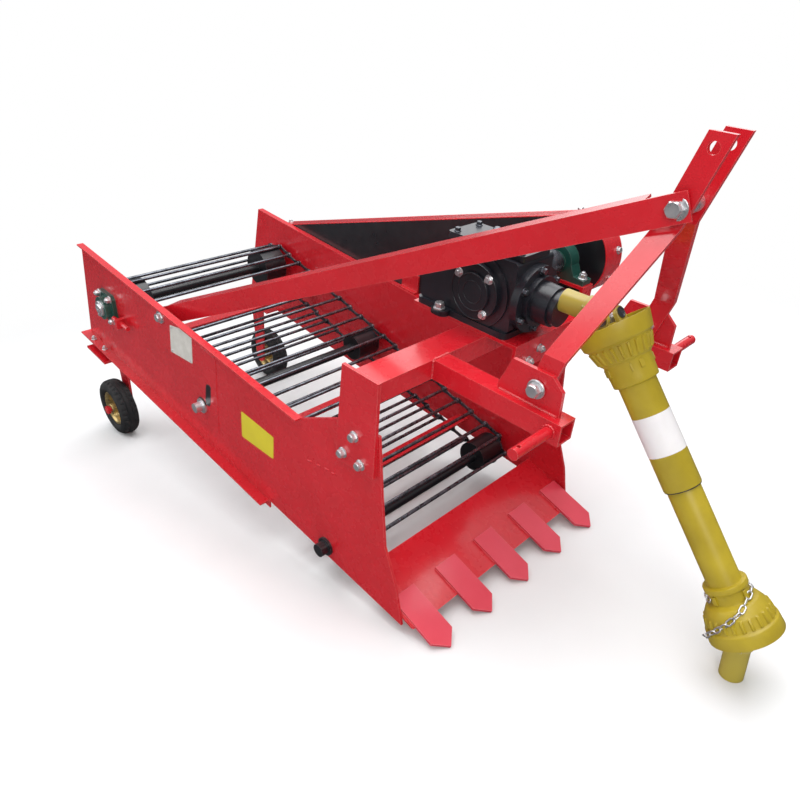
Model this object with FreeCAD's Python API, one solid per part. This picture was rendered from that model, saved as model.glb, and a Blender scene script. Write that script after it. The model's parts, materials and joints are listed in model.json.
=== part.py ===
import FreeCAD, Part
import math
import os

# Mini root crop harvester for a small tractor's three-point hitch, in millimetres.
# It is laid out in the frame's own axes: X forward along the hitch tubes, Y to the
# machine's left from the right side plate's inner face, Z up from that plate's toe.
# At the end every piece is tipped nose down until shovel and wheels stand on Z = 0.

V = FreeCAD.Vector
X_DIR, Y_DIR, Z_DIR = V(1, 0, 0), V(0, 1, 0), V(0, 0, 1)

# Side plates and channel
channel_width = 650.0
plate_t = 6.0
lip_width = 14.0
lip_t = 4.0
plate_toe = (0.0, 0.0)
plate_tail_low = (-1545.0, 116.0)
plate_tail_top = (-1464.0, 453.0)
plate_kink = (-354.0, 375.0)
plate_outline = [
    # x, z round the plate, from the toe along the bottom to the tail and back over the top
    plate_toe, plate_tail_low, plate_tail_top, plate_kink,
    (-221, 445), (-100, 464), (-85, 330), (-67, 192), (-24, 94),
]

# Bottom rails, angle iron under each plate
rail_leg = 28.0
rail_t = 4.0
rail_rear_x = -1560.0
rail_front_x = -500.0

# Hitch frame
frame_top_z = 578.0
beam_width = 70.0
beam_height = 44.0
beam_wall = 4.0
beam_front_x = -110.0
tube_size = 44.0
tube_wall = 4.0
tube_front_x = 193.0
hitch_offset = 53.0
hitch_y = channel_width / 2 + hitch_offset
tube_half_gap = 212.0
bracket_t = 8.0
bracket_rear_x = -222.0
bracket_front_x = -102.0
bracket_drop = 238.0
bracket_rise = 6.0
lower_pin_r = 11.0
lower_pin_length = 104.0
lower_pin_x = 170.0
linch_hole_r = 4.0

# Mast
strap_width = 42.0
strap_t = 10.0
strap_foot = (118.0, 606.0)
foot_bolt_z = 614.0
strap_lean = math.radians(15.1)
strap_foot_drop = 14.0
strap_bend_low = 680.0
strap_top_z = 1046.0
strap_bend_drop = 152.0
bend_relief = 4.0
top_gap_half = 26.0
top_hole_r = 10.0
top_hole_drop = 24.0
foot_plate_t = 8.0
foot_rear_x = 37.0
foot_front_x = 174.0
foot_height = 72.0
mast_bolt_r = 10.0
mast_bolt_drop = 120.0
brace_leg = 50.0
brace_t = 5.0
brace_low_x = -979.0
brace_low_drop = 34.0
brace_spacer = 8.0
brace_end = 22.0
brace_bolt_r = 8.0

# Shovel and tines
shovel_angle = math.radians(16.5)
shovel_front = (32.0, 12.0)
shovel_length = 178.0
shovel_t = 10.0
tine_count = 5
tine_width = 68.0
tine_edge = 39.0
tine_t = 8.0
tine_back = 80.0
tine_reach = 50.0
tine_point = 30.0

# Rod conveyor
rear_axle = (-1326.0, 292.0)
front_axle = (-262.0, 50.0)
rear_pitch_r = 68.0
front_pitch_r = 50.0
rod_count = 44
rod_r = 5.0
rod_sides = 6
rod_end_gap = 16.0
link_t = 5.0
link_height = 12.0
drum_clear = 0.4
drum_length = 84.0
drum_inset = 26.0
axle_r = 15.0
roller_x = -800.0
roller_r = 42.0
bar_leg = 36.0
bar_t = 5.0
bar_drop = 6.0
front_bar_gap = 132.0
middle_bar_gap = 160.0
rear_bar_gap = 340.0
bar_places = (front_axle[0] - front_bar_gap, roller_x + middle_bar_gap, roller_x - rear_bar_gap)

# Rear bearings and their tension screws
bearing_size = 96.0
bearing_flange_t = 12.0
bearing_boss_r = 36.0
bearing_boss_out = 30.0
bearing_bolt_half = 36.0
screw_r = 7.0
screw_length = 96.0
screw_drop = 20.0
lug_size = 30.0
lug_t = 12.0
lug_reach = 40.0
idler_hub_r = 17.0
idler_hub_out = 26.0
idler_washer_r = 24.0
roller_nut_r = 14.0
roller_washer_r = 22.0

# Gearbox
platform_t = 8.0
platform_rear_x = -326.0
platform_front_x = -29.0
platform_right_y = hitch_y - 70.0
platform_left_y = channel_width
platform_flange = 58.0
box_half_width = 68.0
box_rear_x = -320.0
box_front_x = -62.0
shaft_x = -153.0
shaft_z = 668.0
box_base_t = 14.0
box_lug_r = 16.0
box_drum_r = 80.0
box_inset = 6.0
box_round = 18.0
box_tail_height = 118.0
box_tail_step = (34.0, 28.0)
box_nose_height = 84.0
box_lid_t = 12.0
box_rib_t = 8.0
cap_r = 62.0
cap_t = 10.0
cap_hub_r = 42.0
input_flange_r = 72.0
input_flange_t = 18.0
input_r = 42.0
input_collar = 12.0
input_nose = 14.0
input_front_x = 18.0
output_r = 16.0
coupling_r = 30.0
coupling_length = 56.0
pillow_width = 34.0
pillow_inset = 8.0
pillow_r = 42.0
pillow_foot_half = 82.0
pillow_foot_t = 12.0
pillow_drop = 38.0
pillow_race_r = 25.0
pillow_race_out = 5.0

# Chain case on the left
case_gap = 16.0
case_depth = 70.0
case_rear_r = 132.0
case_front_r = 97.0
case_wall = 3.0
case_stay_x = -1120.0
case_stay_half = 20.0
case_uprights = [
    # x, half width, top height
    (-678.0, 34.0, 452.0), (-380.0, 20.0, 540.0),
]

# Wheels
wheel_x = -1445.0
wheel_y = 0.0
tyre_r = 102.0
tyre_section = 40.0
tyre_width = 64.0
ring_flats = 40
rim_r = tyre_r - tyre_section
hub_r = 20.0
hub_length = 64.0
stub_r = 10.0
run_clear = 0.05
wheel_arm_t = 8.0
wheel_arm_width = 44.0
wheel_plate_length = 130.0

# Driveline
joint_x = 118.0
joint_z = 690.0
line_angle = math.radians(49.0)
yoke_drop = 134.0
cross_r = 8.0
cross_half = 27.0
cross_body = 24.0
ear_t = 9.0
ear_half = 14.0
ear_inner = 19.0
hub_back = 47.0
bridge_t = 9.0
fit_gap = 0.3
stub_shaft_r = 18.0
stub_shaft_end = 120.0
yoke_hub_r = 24.0
cone_rim_r = 75.0
cone_wall = 3.5
cone_mouth = 12.0
upper_cone = [
    # distance from the joint, outer radius: rim band, ribbed taper, collar
    (cone_mouth, cone_rim_r), (48.0, cone_rim_r - 8), (52.0, cone_rim_r - 14), (84.0, 51.0), (87.0, 47.0), (133.0, 44.0),
]
upper_seat = (104.0, 116.0)
outer_tube_r = 37.0
inner_tube_r = 32.5
tube_overlap = 112.0
cone_seat = 92.0
slide_clear = 0.5
outer_end = 357.0
lower_cone_rim_r = 72.0
lower_cone = [
    # distance past the lower joint, outer radius: rim band, ribbed bulb
    (14.0, lower_cone_rim_r), (-14.0, lower_cone_rim_r - 3), (-16.0, lower_cone_rim_r - 8), (-40.0, 60.0), (-58.0, 50.0),
]
lower_cone_back = -50.0
lower_collar_r = 38.0
lower_ring_r = 42.0
lower_ring_width = 8.0
bore_r = 17.5
bore_length = 60.0


def box(x0, x1, y0, y1, z0, z1):
    return Part.makeBox(x1 - x0, y1 - y0, z1 - z0, V(x0, y0, z0))


def rod(start, direction, radius, length):
    return Part.makeCylinder(radius, length, start, direction)


def slab(points, y0, y1):
    """Closed outline of (x, z) points carried from y0 to y1."""
    wire = Part.makePolygon([V(x, y0, z) for x, z in points + points[:1]])
    return Part.Face(wire).extrude(V(0, y1 - y0, 0))


def fuse(*shapes):
    return shapes[0].multiFuse(list(shapes[1:])).removeSplitter() if len(shapes) > 1 else shapes[0]


def mirrored(shape):
    """The same piece on the other side of the channel."""
    return shape.mirror(V(0, channel_width / 2, 0), Y_DIR)


def line_z(start, end, x):
    return start[1] + (end[1] - start[1]) * (x - start[0]) / (end[0] - start[0])


def plate_top(x):
    return line_z(plate_tail_top, plate_kink, x)


def plate_bottom(x):
    return line_z(plate_toe, plate_tail_low, x)


def belt_z(x):
    return line_z(rear_axle, front_axle, x)


right_out = -plate_t
left_out = channel_width + plate_t
frame_low_z = frame_top_z - beam_height
beam_rear_x = beam_front_x - beam_width
platform_z = frame_top_z + platform_t
tube_ys = (hitch_y - tube_half_gap, hitch_y + tube_half_gap)
pillow_y = (channel_width - pillow_inset - pillow_width, channel_width - pillow_inset)
coupling_left_y = pillow_y[0] - pillow_race_out - 7
top_hole_z = strap_top_z - top_hole_drop
mast_bolt_z = strap_top_z - mast_bolt_drop
strap_bend_high = strap_top_z - strap_bend_drop


# Side plate with its top edge turned outwards
def side_plate():
    wall = slab(plate_outline, right_out, 0)
    tail, kink = plate_tail_top, plate_kink
    slope = math.atan2(kink[1] - tail[1], kink[0] - tail[0])
    drop = lip_t / math.cos(slope)
    lip = slab([tail, kink, (kink[0], kink[1] - drop), (tail[0], tail[1] - drop)],
               right_out - lip_width, right_out)
    plate = fuse(wall, lip)
    for (x, z), radius in ((rear_axle, axle_r + 4), (front_axle, axle_r + fit_gap)):
        plate = plate.cut(rod(V(x, right_out - 1, z), Y_DIR, radius, plate_t + 2))
    return plate


def drilled(plate):
    return plate.cut(rod(V(brace_low.x, right_out - 1, brace_low.z), Y_DIR, brace_bolt_r + fit_gap, plate_t + 2))


def bottom_rail():
    pts = []
    for x in (rail_rear_x, rail_front_x):
        pts.append((x, plate_bottom(x)))
    down = [(x, z - rail_leg) for x, z in reversed(pts)]
    under = [(x, z - rail_t) for x, z in reversed(pts)]
    return fuse(slab(pts + down, -rail_t, 0), slab(pts + under, right_out - rail_leg, 0))


def upright_bracket():
    top, low = frame_top_z + bracket_rise, frame_top_z + bracket_rise - bracket_drop
    outline = [(bracket_rear_x, low), (bracket_front_x - 2, low + 14), (bracket_front_x, top), (bracket_rear_x + 18, top)]
    return slab(outline, right_out - bracket_t, right_out)


def square_tube(x0, x1, y0, y1, z0, z1, wall, axis):
    outer = box(x0, x1, y0, y1, z0, z1)
    grow = {"x": (1, 0), "y": (0, 1)}[axis]
    inner = box(x0 + wall - grow[0] * (wall + 1), x1 - wall + grow[0] * (wall + 1),
                y0 + wall - grow[1] * (wall + 1), y1 - wall + grow[1] * (wall + 1), z0 + wall, z1 - wall)
    return outer.cut(inner)


def cross_beam():
    return square_tube(beam_rear_x, beam_front_x, right_out, left_out, frame_low_z, frame_top_z, beam_wall, "y")


def hitch_tube(y):
    half = tube_size / 2
    return square_tube(beam_front_x, tube_front_x, y - half, y + half, frame_top_z - tube_size, frame_top_z, tube_wall, "x")


def lower_pin(y, side):
    root = V(lower_pin_x, y + side * tube_size / 2, frame_top_z - tube_size / 2)
    pin = rod(root, Y_DIR * side, lower_pin_r, lower_pin_length)
    hole_at = root + Y_DIR * (side * (lower_pin_length - 14)) - Z_DIR * (lower_pin_r + 1)
    return pin.cut(rod(hole_at, Z_DIR, linch_hole_r, 2 * lower_pin_r + 2))


def strap_x(z):
    return strap_foot[0] + (z - strap_foot[1]) * math.tan(strap_lean)


def mast_foot(y):
    top = frame_top_z + foot_height
    outline = [(foot_rear_x, frame_top_z), (foot_front_x, frame_top_z), (foot_front_x - 2, top - 22),
               (foot_front_x - 28, top), (foot_rear_x + 24, top), (foot_rear_x, frame_top_z + 12)]
    plate = slab(outline, y - foot_plate_t / 2, y + foot_plate_t / 2)
    return plate.cut(rod(V(strap_x(foot_bolt_z), y - 20, foot_bolt_z), Y_DIR, mast_bolt_r, 40))


# Flat strap bent twice: upright at the foot, leaning in, upright again at the top
def mast_strap(y, side):
    foot_y = y - side * foot_plate_t / 2
    top_y = hitch_y + side * top_gap_half
    low, top = strap_foot[1] - strap_foot_drop, strap_top_z
    section = [(foot_y, low), (foot_y, strap_bend_low), (top_y + side * strap_t, strap_bend_high),
               (top_y + side * strap_t, top), (top_y, top), (top_y, strap_bend_high - bend_relief),
               (foot_y - side * strap_t, strap_bend_low - bend_relief), (foot_y - side * strap_t, low)]
    rear_x, front_x = strap_x(low) - strap_width, strap_x(top) + strap_width
    wire = Part.makePolygon([V(rear_x, a, b) for a, b in section + section[:1]])
    sheet = Part.Face(wire).extrude(V(front_x - rear_x, 0, 0))
    half = strap_width / 2 / math.cos(strap_lean)
    side_view = [(strap_x(low) - half, low), (strap_x(low) + half, low),
                 (strap_x(top) + half, top), (strap_x(top) - half, top)]
    near_y, far_y = min(foot_y, top_y) - strap_t - 1, max(foot_y, top_y) + strap_t + 1
    strap = sheet.common(slab(side_view, near_y, far_y))
    for z, radius in ((foot_bolt_z, mast_bolt_r), (mast_bolt_z, mast_bolt_r), (top_hole_z, top_hole_r)):
        strap = strap.cut(rod(V(strap_x(z), near_y, z), Y_DIR, radius, far_y - near_y))
    return strap


def mast_bolt():
    half = top_gap_half + strap_t
    start = hitch_y - half - brace_spacer - brace_t - 12
    shank = rod(V(strap_x(mast_bolt_z), start, mast_bolt_z), Y_DIR, mast_bolt_r - fit_gap, hitch_y + half + 14 - start)
    sleeve = rod(V(strap_x(mast_bolt_z), hitch_y - top_gap_half, mast_bolt_z), Y_DIR, mast_bolt_r + 6, 2 * top_gap_half)
    return fuse(shank, sleeve)


def foot_bolt(y):
    reach = foot_plate_t / 2 + strap_t + 8
    return rod(V(strap_x(foot_bolt_z), y - reach, foot_bolt_z), Y_DIR, mast_bolt_r - fit_gap, 2 * reach)


# Angle iron stay from the mast bolt down to the right side plate
brace_low = V(brace_low_x, brace_spacer, plate_top(brace_low_x) - brace_low_drop)
brace_high = V(strap_x(mast_bolt_z), hitch_y - top_gap_half - strap_t - brace_spacer - brace_t, mast_bolt_z)


def top_brace():
    along = brace_high.sub(brace_low)
    length = along.Length
    along.normalize()
    side = Z_DIR.cross(along)
    side.normalize()
    up = along.cross(side)
    leg = Part.Face(Part.makePolygon([brace_low - along * brace_end + side * p + up * q for p, q in (
        (0, -brace_leg / 2), (0, brace_leg / 2), (brace_t, brace_leg / 2), (brace_t, -brace_leg / 2), (0, -brace_leg / 2))]))
    top = Part.Face(Part.makePolygon([brace_low + along * brace_end + side * p + up * q for p, q in (
        (0, brace_leg / 2 - brace_t), (0, brace_leg / 2), (brace_leg, brace_leg / 2),
        (brace_leg, brace_leg / 2 - brace_t), (0, brace_leg / 2 - brace_t))]))
    brace = fuse(leg.extrude(along * (length + 2 * brace_end)), top.extrude(along * (length - 3 * brace_end)))
    for at, radius in ((brace_low, brace_bolt_r), (brace_high, mast_bolt_r)):
        brace = brace.cut(rod(at - Y_DIR * 30, Y_DIR, radius + fit_gap, 60))
    return brace


def brace_bolt():
    shank = rod(V(brace_low.x, right_out - 14, brace_low.z), Y_DIR, brace_bolt_r, plate_t + 14 + brace_spacer + brace_t + 16)
    washer = rod(V(brace_low.x, right_out, brace_low.z), Y_DIR * -1, 18, 4)
    return fuse(shank, washer)


def cross_bar(x):
    z, rear_x = belt_z(x) - bar_drop, x - bar_leg / 2
    flat = box(rear_x, rear_x + bar_leg, 0, channel_width, z, z + bar_t)
    web = box(rear_x, rear_x + bar_t, 0, channel_width, z - bar_leg / 2 + bar_t, z + bar_t)
    return fuse(flat, web)


def shovel_axes():
    down = V(math.cos(shovel_angle), 0, -math.sin(shovel_angle))
    normal = V(math.sin(shovel_angle), 0, math.cos(shovel_angle))
    return down, normal


def shovel_plate():
    down, normal = shovel_axes()
    front = V(shovel_front[0], 0, shovel_front[1])
    back = front - down * shovel_length
    wire = Part.makePolygon([front, back, back - normal * shovel_t, front - normal * (shovel_t - 4) - down * 6, front])
    return Part.Face(wire).extrude(V(0, channel_width, 0))


def shovel_tines():
    down, normal = shovel_axes()
    front = V(shovel_front[0], 0, shovel_front[1])
    pitch = (channel_width - 2 * tine_edge) / (tine_count - 1)
    tines = []
    for i in range(tine_count):
        y = tine_edge + i * pitch
        half = tine_width / 2
        outline = [(-tine_back, -half), (tine_reach, -half), (tine_reach + tine_point, 0), (tine_reach, half), (-tine_back, half)]
        pts = [front + down * s + V(0, y + t, 0) for s, t in outline]
        tines.append(Part.Face(Part.makePolygon(pts + pts[:1])).extrude(normal * tine_t))
    return Part.makeCompound(tines)


# The rod conveyor: rods on a closed path round the rear drums and the front idler
def belt_path():
    dx, dz = front_axle[0] - rear_axle[0], front_axle[1] - rear_axle[1]
    span = math.hypot(dx, dz)
    base = math.atan2(dz, dx)
    lean = math.asin((rear_pitch_r - front_pitch_r) / span)
    run = span * math.cos(lean)
    top_angle = base + math.pi / 2 - lean
    low_angle = base - math.pi / 2 + lean
    front_turn = top_angle - low_angle
    rear_turn = 2 * math.pi - front_turn
    lengths = [run, front_turn * front_pitch_r, run, rear_turn * rear_pitch_r]
    return dict(base=base, top=top_angle, low=low_angle, run=run, lengths=lengths, total=sum(lengths))


def on_circle(centre, radius, angle):
    return centre[0] + radius * math.cos(angle), centre[1] + radius * math.sin(angle)


def belt_point(path, s):
    run, front_arc, _, _ = path["lengths"]
    s = s % path["total"]
    if s < run:
        a, b = on_circle(rear_axle, rear_pitch_r, path["top"]), on_circle(front_axle, front_pitch_r, path["top"])
        return a[0] + (b[0] - a[0]) * s / run, a[1] + (b[1] - a[1]) * s / run
    s -= run
    if s < front_arc:
        return on_circle(front_axle, front_pitch_r, path["top"] - s / front_pitch_r)
    s -= front_arc
    if s < run:
        a, b = on_circle(front_axle, front_pitch_r, path["low"]), on_circle(rear_axle, rear_pitch_r, path["low"])
        return a[0] + (b[0] - a[0]) * s / run, a[1] + (b[1] - a[1]) * s / run
    s -= run
    return on_circle(rear_axle, rear_pitch_r, path["low"] - s / rear_pitch_r)


def prism(centre, radius, sides, y0, y1):
    pts = []
    for k in range(sides):
        a = 2 * math.pi * (k + 0.5) / sides
        pts.append((centre[0] + radius * math.cos(a), centre[1] + radius * math.sin(a)))
    return slab(pts, y0, y1)


def link_plate(p, q, y0, y1):
    ax, az = q[0] - p[0], q[1] - p[1]
    length = math.hypot(ax, az)
    ux, uz = ax / length, az / length
    h = link_height / 2
    corners = [(-h, 0), (0, h), (length, h), (length + h, 0), (length, -h), (0, -h)]
    return slab([(p[0] + ux * a - uz * b, p[1] + uz * a + ux * b) for a, b in corners], y0, y1)


def rod_chain():
    path = belt_path()
    pitch = path["total"] / rod_count
    pts = [belt_point(path, i * pitch) for i in range(rod_count)]
    y0, y1 = rod_end_gap, channel_width - rod_end_gap
    pieces = [prism(p, rod_r, rod_sides, y0, y1) for p in pts]
    for i in range(rod_count):
        p, q = pts[i], pts[(i + 1) % rod_count]
        shift = (i % 2) * link_t
        pieces.append(link_plate(p, q, y0 + shift, y0 + shift + link_t))
        pieces.append(link_plate(p, q, y1 - shift - link_t, y1 - shift))
    return pieces[0].multiFuse(pieces[1:])


def drum_pair(centre, radius, shaft_y0, shaft_y1):
    shaft = rod(V(centre[0], shaft_y0, centre[1]), Y_DIR, axle_r, shaft_y1 - shaft_y0)
    near = rod(V(centre[0], drum_inset, centre[1]), Y_DIR, radius, drum_length)
    far = rod(V(centre[0], channel_width - drum_inset - drum_length, centre[1]), Y_DIR, radius, drum_length)
    return fuse(shaft, near, far)


case_near_y = left_out + case_gap
case_far_y = case_near_y + case_depth
rear_drum_r = rear_pitch_r - rod_r - drum_clear
front_drum_r = front_pitch_r - rod_r - drum_clear


def roller_axis():
    path = belt_path()
    a, b = on_circle(rear_axle, rear_pitch_r, path["top"]), on_circle(front_axle, front_pitch_r, path["top"])
    slope = math.atan2(b[1] - a[1], b[0] - a[0])
    reach = roller_r + rod_r + drum_clear
    return roller_x, line_z(a, b, roller_x) - reach / math.cos(slope)


def rear_bearing():
    x, z = rear_axle
    half = bearing_size / 2
    outline = [(x - half, z - half + 12), (x - half + 12, z - half), (x + half - 12, z - half), (x + half, z - half + 12),
               (x + half, z + half - 12), (x + half - 12, z + half), (x - half + 12, z + half), (x - half, z + half - 12)]
    y = right_out
    flange = slab(outline, y - bearing_flange_t, y)
    boss = rod(V(x, y, z), Y_DIR * -1, bearing_boss_r, bearing_boss_out)
    return fuse(flange, boss).cut(rod(V(x, y + 1, z), Y_DIR * -1, axle_r + fit_gap, bearing_boss_out + 2))


def tension_screw(depth):
    x, z = rear_axle[0] + bearing_size / 2, rear_axle[1] - screw_drop
    lug_x = x + lug_reach
    lug = box(lug_x, lug_x + lug_t, right_out - depth, right_out, z - lug_size / 2, z + lug_size / 2)
    screw = rod(V(x, right_out - depth / 2, z), X_DIR, screw_r, screw_length)
    return fuse(lug, screw)


def idler_hub():
    x, z = front_axle
    hub = rod(V(x, right_out, z), Y_DIR * -1, idler_hub_r, idler_hub_out)
    return fuse(hub, rod(V(x, right_out, z), Y_DIR * -1, idler_washer_r, 6)).cut(
        rod(V(x, 1, z), Y_DIR * -1, axle_r + fit_gap, plate_t + idler_hub_out - 5))


def roller_bolt():
    x, z = roller_axis()
    washer = rod(V(x, right_out, z), Y_DIR * -1, roller_washer_r, 5)
    return fuse(washer, rod(V(x, right_out, z), Y_DIR * -1, roller_nut_r, idler_hub_out))


def gearbox_platform():
    top = box(platform_rear_x, platform_front_x, platform_right_y, platform_left_y, frame_top_z, platform_z)
    front = box(platform_front_x - platform_t, platform_front_x, platform_right_y, tube_ys[1] - tube_size / 2,
                frame_top_z - platform_flange, frame_top_z)
    return fuse(top, front)


def rounded(shape, direction, radius):
    """Rounds the straight edges that run along a direction."""
    edges = [e for e in shape.Edges if abs(e.tangentAt(e.FirstParameter).dot(direction)) > 0.99]
    return shape.makeFillet(radius, edges)


# Cast housing: rounded body with a bearing boss across it, base flange, lid, input flange and its ribs
def gearbox_housing():
    y0, y1 = hitch_y - box_half_width, hitch_y + box_half_width
    floor = platform_z + box_base_t
    base = rounded(box(box_rear_x, box_front_x, y0 - 2, y1 + 2, platform_z, floor), Z_DIR, box_lug_r)
    rear_x, nose_top = box_rear_x + box_inset, shaft_z + box_nose_height
    step_x, step_z = rear_x + box_tail_step[0], platform_z + box_tail_height + box_tail_step[1]
    body = slab([(rear_x, floor), (rear_x, platform_z + box_tail_height), (step_x, step_z), (shaft_x, nose_top),
                 (box_front_x, nose_top), (box_front_x, floor)], y0 + box_inset, y1 - box_inset)
    body = body.cut(box(rear_x - 1, box_front_x + 1, y0, y1, floor - 1, floor))
    body = rounded(body, Y_DIR, box_round / 2)
    drum = rod(V(shaft_x, y0 + 2, shaft_z), Y_DIR, box_drum_r, 2 * box_half_width - 4)
    lid = rounded(box(step_x + box_round, box_front_x, y0 + box_round, y1 - box_round, nose_top - 1, nose_top + box_lid_t),
                  Z_DIR, box_round / 2)
    flange = rod(V(box_front_x, hitch_y, shaft_z), X_DIR, input_flange_r, input_flange_t)
    ribs = [slab([(box_front_x - 2, floor), (box_front_x + input_flange_t, shaft_z - input_flange_r / 2),
                  (box_front_x - 2, shaft_z)], y - box_rib_t / 2, y + box_rib_t / 2)
            for y in (hitch_y - input_flange_r / 2, hitch_y + input_flange_r / 2)]
    return fuse(base, body, drum, lid, flange, *ribs)


def gearbox_cap():
    y = hitch_y - box_half_width + 2
    plate = rod(V(shaft_x, y, shaft_z), Y_DIR * -1, cap_r, cap_t)
    return fuse(plate, rod(V(shaft_x, y, shaft_z), Y_DIR * -1, cap_hub_r, cap_t + 5))


def gearbox_input():
    x = box_front_x + input_flange_t
    length = input_front_x - x
    profile = [(0, 0), (0, input_r + input_collar), (input_collar, input_r + input_collar), (input_collar, input_r + 2),
               (length - input_nose, input_r), (length - input_nose, input_r - 5), (length, input_r - 5), (length, 0)]
    return spun(profile, V(x, hitch_y, shaft_z), X_DIR)


def output_shaft():
    y0 = hitch_y + box_half_width - 2
    shaft = rod(V(shaft_x, y0, shaft_z), Y_DIR, output_r, case_near_y - y0)
    return fuse(shaft, rod(V(shaft_x, coupling_left_y, shaft_z), Y_DIR * -1, coupling_r, coupling_length))


def pillow_block():
    y0, y1 = pillow_y
    foot_z = shaft_z - pillow_drop
    half, shoulder = pillow_foot_half, pillow_r + pillow_foot_t
    foot = slab([(shaft_x + s * x, foot_z + z) for s, x, z in (
        (-1, half, 0), (-1, half, pillow_foot_t), (-1, shoulder, pillow_foot_t + 3), (-1, pillow_r, pillow_drop),
        (1, pillow_r, pillow_drop), (1, shoulder, pillow_foot_t + 3), (1, half, pillow_foot_t), (1, half, 0))], y0, y1)
    ring = rod(V(shaft_x, y0, shaft_z), Y_DIR, pillow_r, y1 - y0)
    race = rod(V(shaft_x, y0 - pillow_race_out, shaft_z), Y_DIR, pillow_race_r, y1 - y0 + pillow_race_out)
    block = fuse(foot, ring, race)
    under = box(shaft_x - half, shaft_x + half, y0 - 1, y1 + 1, foot_z - pillow_r, foot_z)
    bore = rod(V(shaft_x, y0 - pillow_race_out - 1, shaft_z), Y_DIR, output_r + fit_gap, y1 - y0 + pillow_race_out + 2)
    return block.cut(under).cut(bore)


def bearing_stand():
    foot_z = shaft_z - pillow_drop
    y0, y1 = pillow_y
    half = pillow_foot_half + 6
    top = box(shaft_x - half, shaft_x + half, y0 - 4, y1 + 4, foot_z - 8, foot_z)
    legs = [box(x, x + 8, y0 - 4, y1 + 4, platform_z, foot_z - 8) for x in (shaft_x - half, shaft_x + half - 8)]
    return fuse(top, *legs)


# Outline round both chain wheels, tangent to two circles
def case_outline(grow, y0, y1):
    rear, front = rear_axle, (shaft_x, shaft_z)
    r1, r2 = case_rear_r + grow, case_front_r + grow
    span = math.hypot(front[0] - rear[0], front[1] - rear[1])
    base = math.atan2(front[1] - rear[1], front[0] - rear[0])
    lean = math.asin((r1 - r2) / span)
    up, low = base + math.pi / 2 - lean, base - math.pi / 2 + lean

    def at(c, r, a):
        return V(c[0] + r * math.cos(a), y0, c[1] + r * math.sin(a))

    edges = [
        Part.LineSegment(at(rear, r1, up), at(front, r2, up)).toShape(),
        Part.Arc(at(front, r2, up), at(front, r2, base), at(front, r2, low)).toShape(),
        Part.LineSegment(at(front, r2, low), at(rear, r1, low)).toShape(),
        Part.Arc(at(rear, r1, low), at(rear, r1, base + math.pi), at(rear, r1, up)).toShape(),
    ]
    return Part.Face(Part.Wire(edges)).extrude(V(0, y1 - y0, 0))


def case_back():
    plate = case_outline(-case_wall - 0.2, case_near_y, case_near_y + case_wall)
    for (x, z), radius in (((shaft_x, shaft_z), output_r + fit_gap), (rear_axle, bearing_boss_r + fit_gap)):
        plate = plate.cut(rod(V(x, case_near_y - 1, z), Y_DIR, radius, case_wall + 2))
    return plate


def case_cover():
    shell = case_outline(0, case_near_y, case_far_y)
    hollow = case_outline(-case_wall, case_near_y - 1, case_far_y - case_wall)
    return shell.cut(hollow)


# Stays that carry the case: a block under the plate's lip, uprights standing on it
def case_stays():
    rear_top = plate_top(case_stay_x) - 8
    stays = [box(case_stay_x - case_stay_half, case_stay_x + case_stay_half, left_out, case_near_y, rear_top - 36, rear_top)]
    for x, half, top in case_uprights:
        ends = [(x - half, plate_top(x - half)), (x + half, plate_top(x + half))]
        foot = slab(ends + [(a, b + 6) for a, b in reversed(ends)], left_out - 4, case_near_y)
        low = plate_top(x) + 3
        stays.append(fuse(foot, box(x - half, x + half, case_near_y - 6, case_near_y, low, top)))
    return Part.makeCompound(stays)


# Wheels: the axle is where the wheel touches the floor line through the shovel tips
pitch_tip = V(shovel_front[0], 0, shovel_front[1]) + shovel_axes()[0] * (tine_reach + tine_point)
park_pitch = math.radians(8.75)
wheel_z = pitch_tip.z + math.tan(park_pitch) * (wheel_x - pitch_tip.x) + tyre_r / math.cos(park_pitch)


# Ring of flats: every (radius, side) point of the profile sits on the corners of a polygon round the axle
def facet_ring(profile):
    def corner(k, r, t):
        a = 2 * math.pi * k / ring_flats
        return V(wheel_x + r * math.cos(a), wheel_y + t, wheel_z + r * math.sin(a))

    faces = []
    for k in range(ring_flats):
        for (r0, t0), (r1, t1) in zip(profile, profile[1:] + profile[:1]):
            pts = [corner(k, r0, t0), corner(k, r1, t1), corner(k + 1, r1, t1), corner(k + 1, r0, t0)]
            faces.append(Part.Face(Part.makePolygon(pts + pts[:1])))
    ring = Part.Solid(Part.Shell(faces))
    return ring if ring.Volume > 0 else ring.reversed()


def wheel_tyre():
    half = tyre_width / 2
    seat = (rim_r + fit_gap) / math.cos(math.pi / ring_flats)
    profile = [(seat, -half + 8), (tyre_r - 26, -half), (tyre_r - 7, -half + 6), (tyre_r, -half + 20),
               (tyre_r, half - 20), (tyre_r - 7, half - 6), (tyre_r - 26, half), (seat, half - 8)]
    return facet_ring(profile)


def wheel_rim():
    half = tyre_width / 2 - 8
    inner = hub_r - 4
    profile = [(rim_r, -half), (rim_r, half), (rim_r - 5, half), (rim_r - 12, 6), (inner, 6), (inner, 0),
               (rim_r - 14, 0), (rim_r - 5, -half)]
    axle = V(wheel_x, wheel_y - hub_length / 2, wheel_z)
    hub = rod(axle, Y_DIR, hub_r, hub_length)
    return fuse(facet_ring(profile), hub).cut(rod(axle - Y_DIR, Y_DIR, stub_r + run_clear, hub_length + 2))


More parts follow.
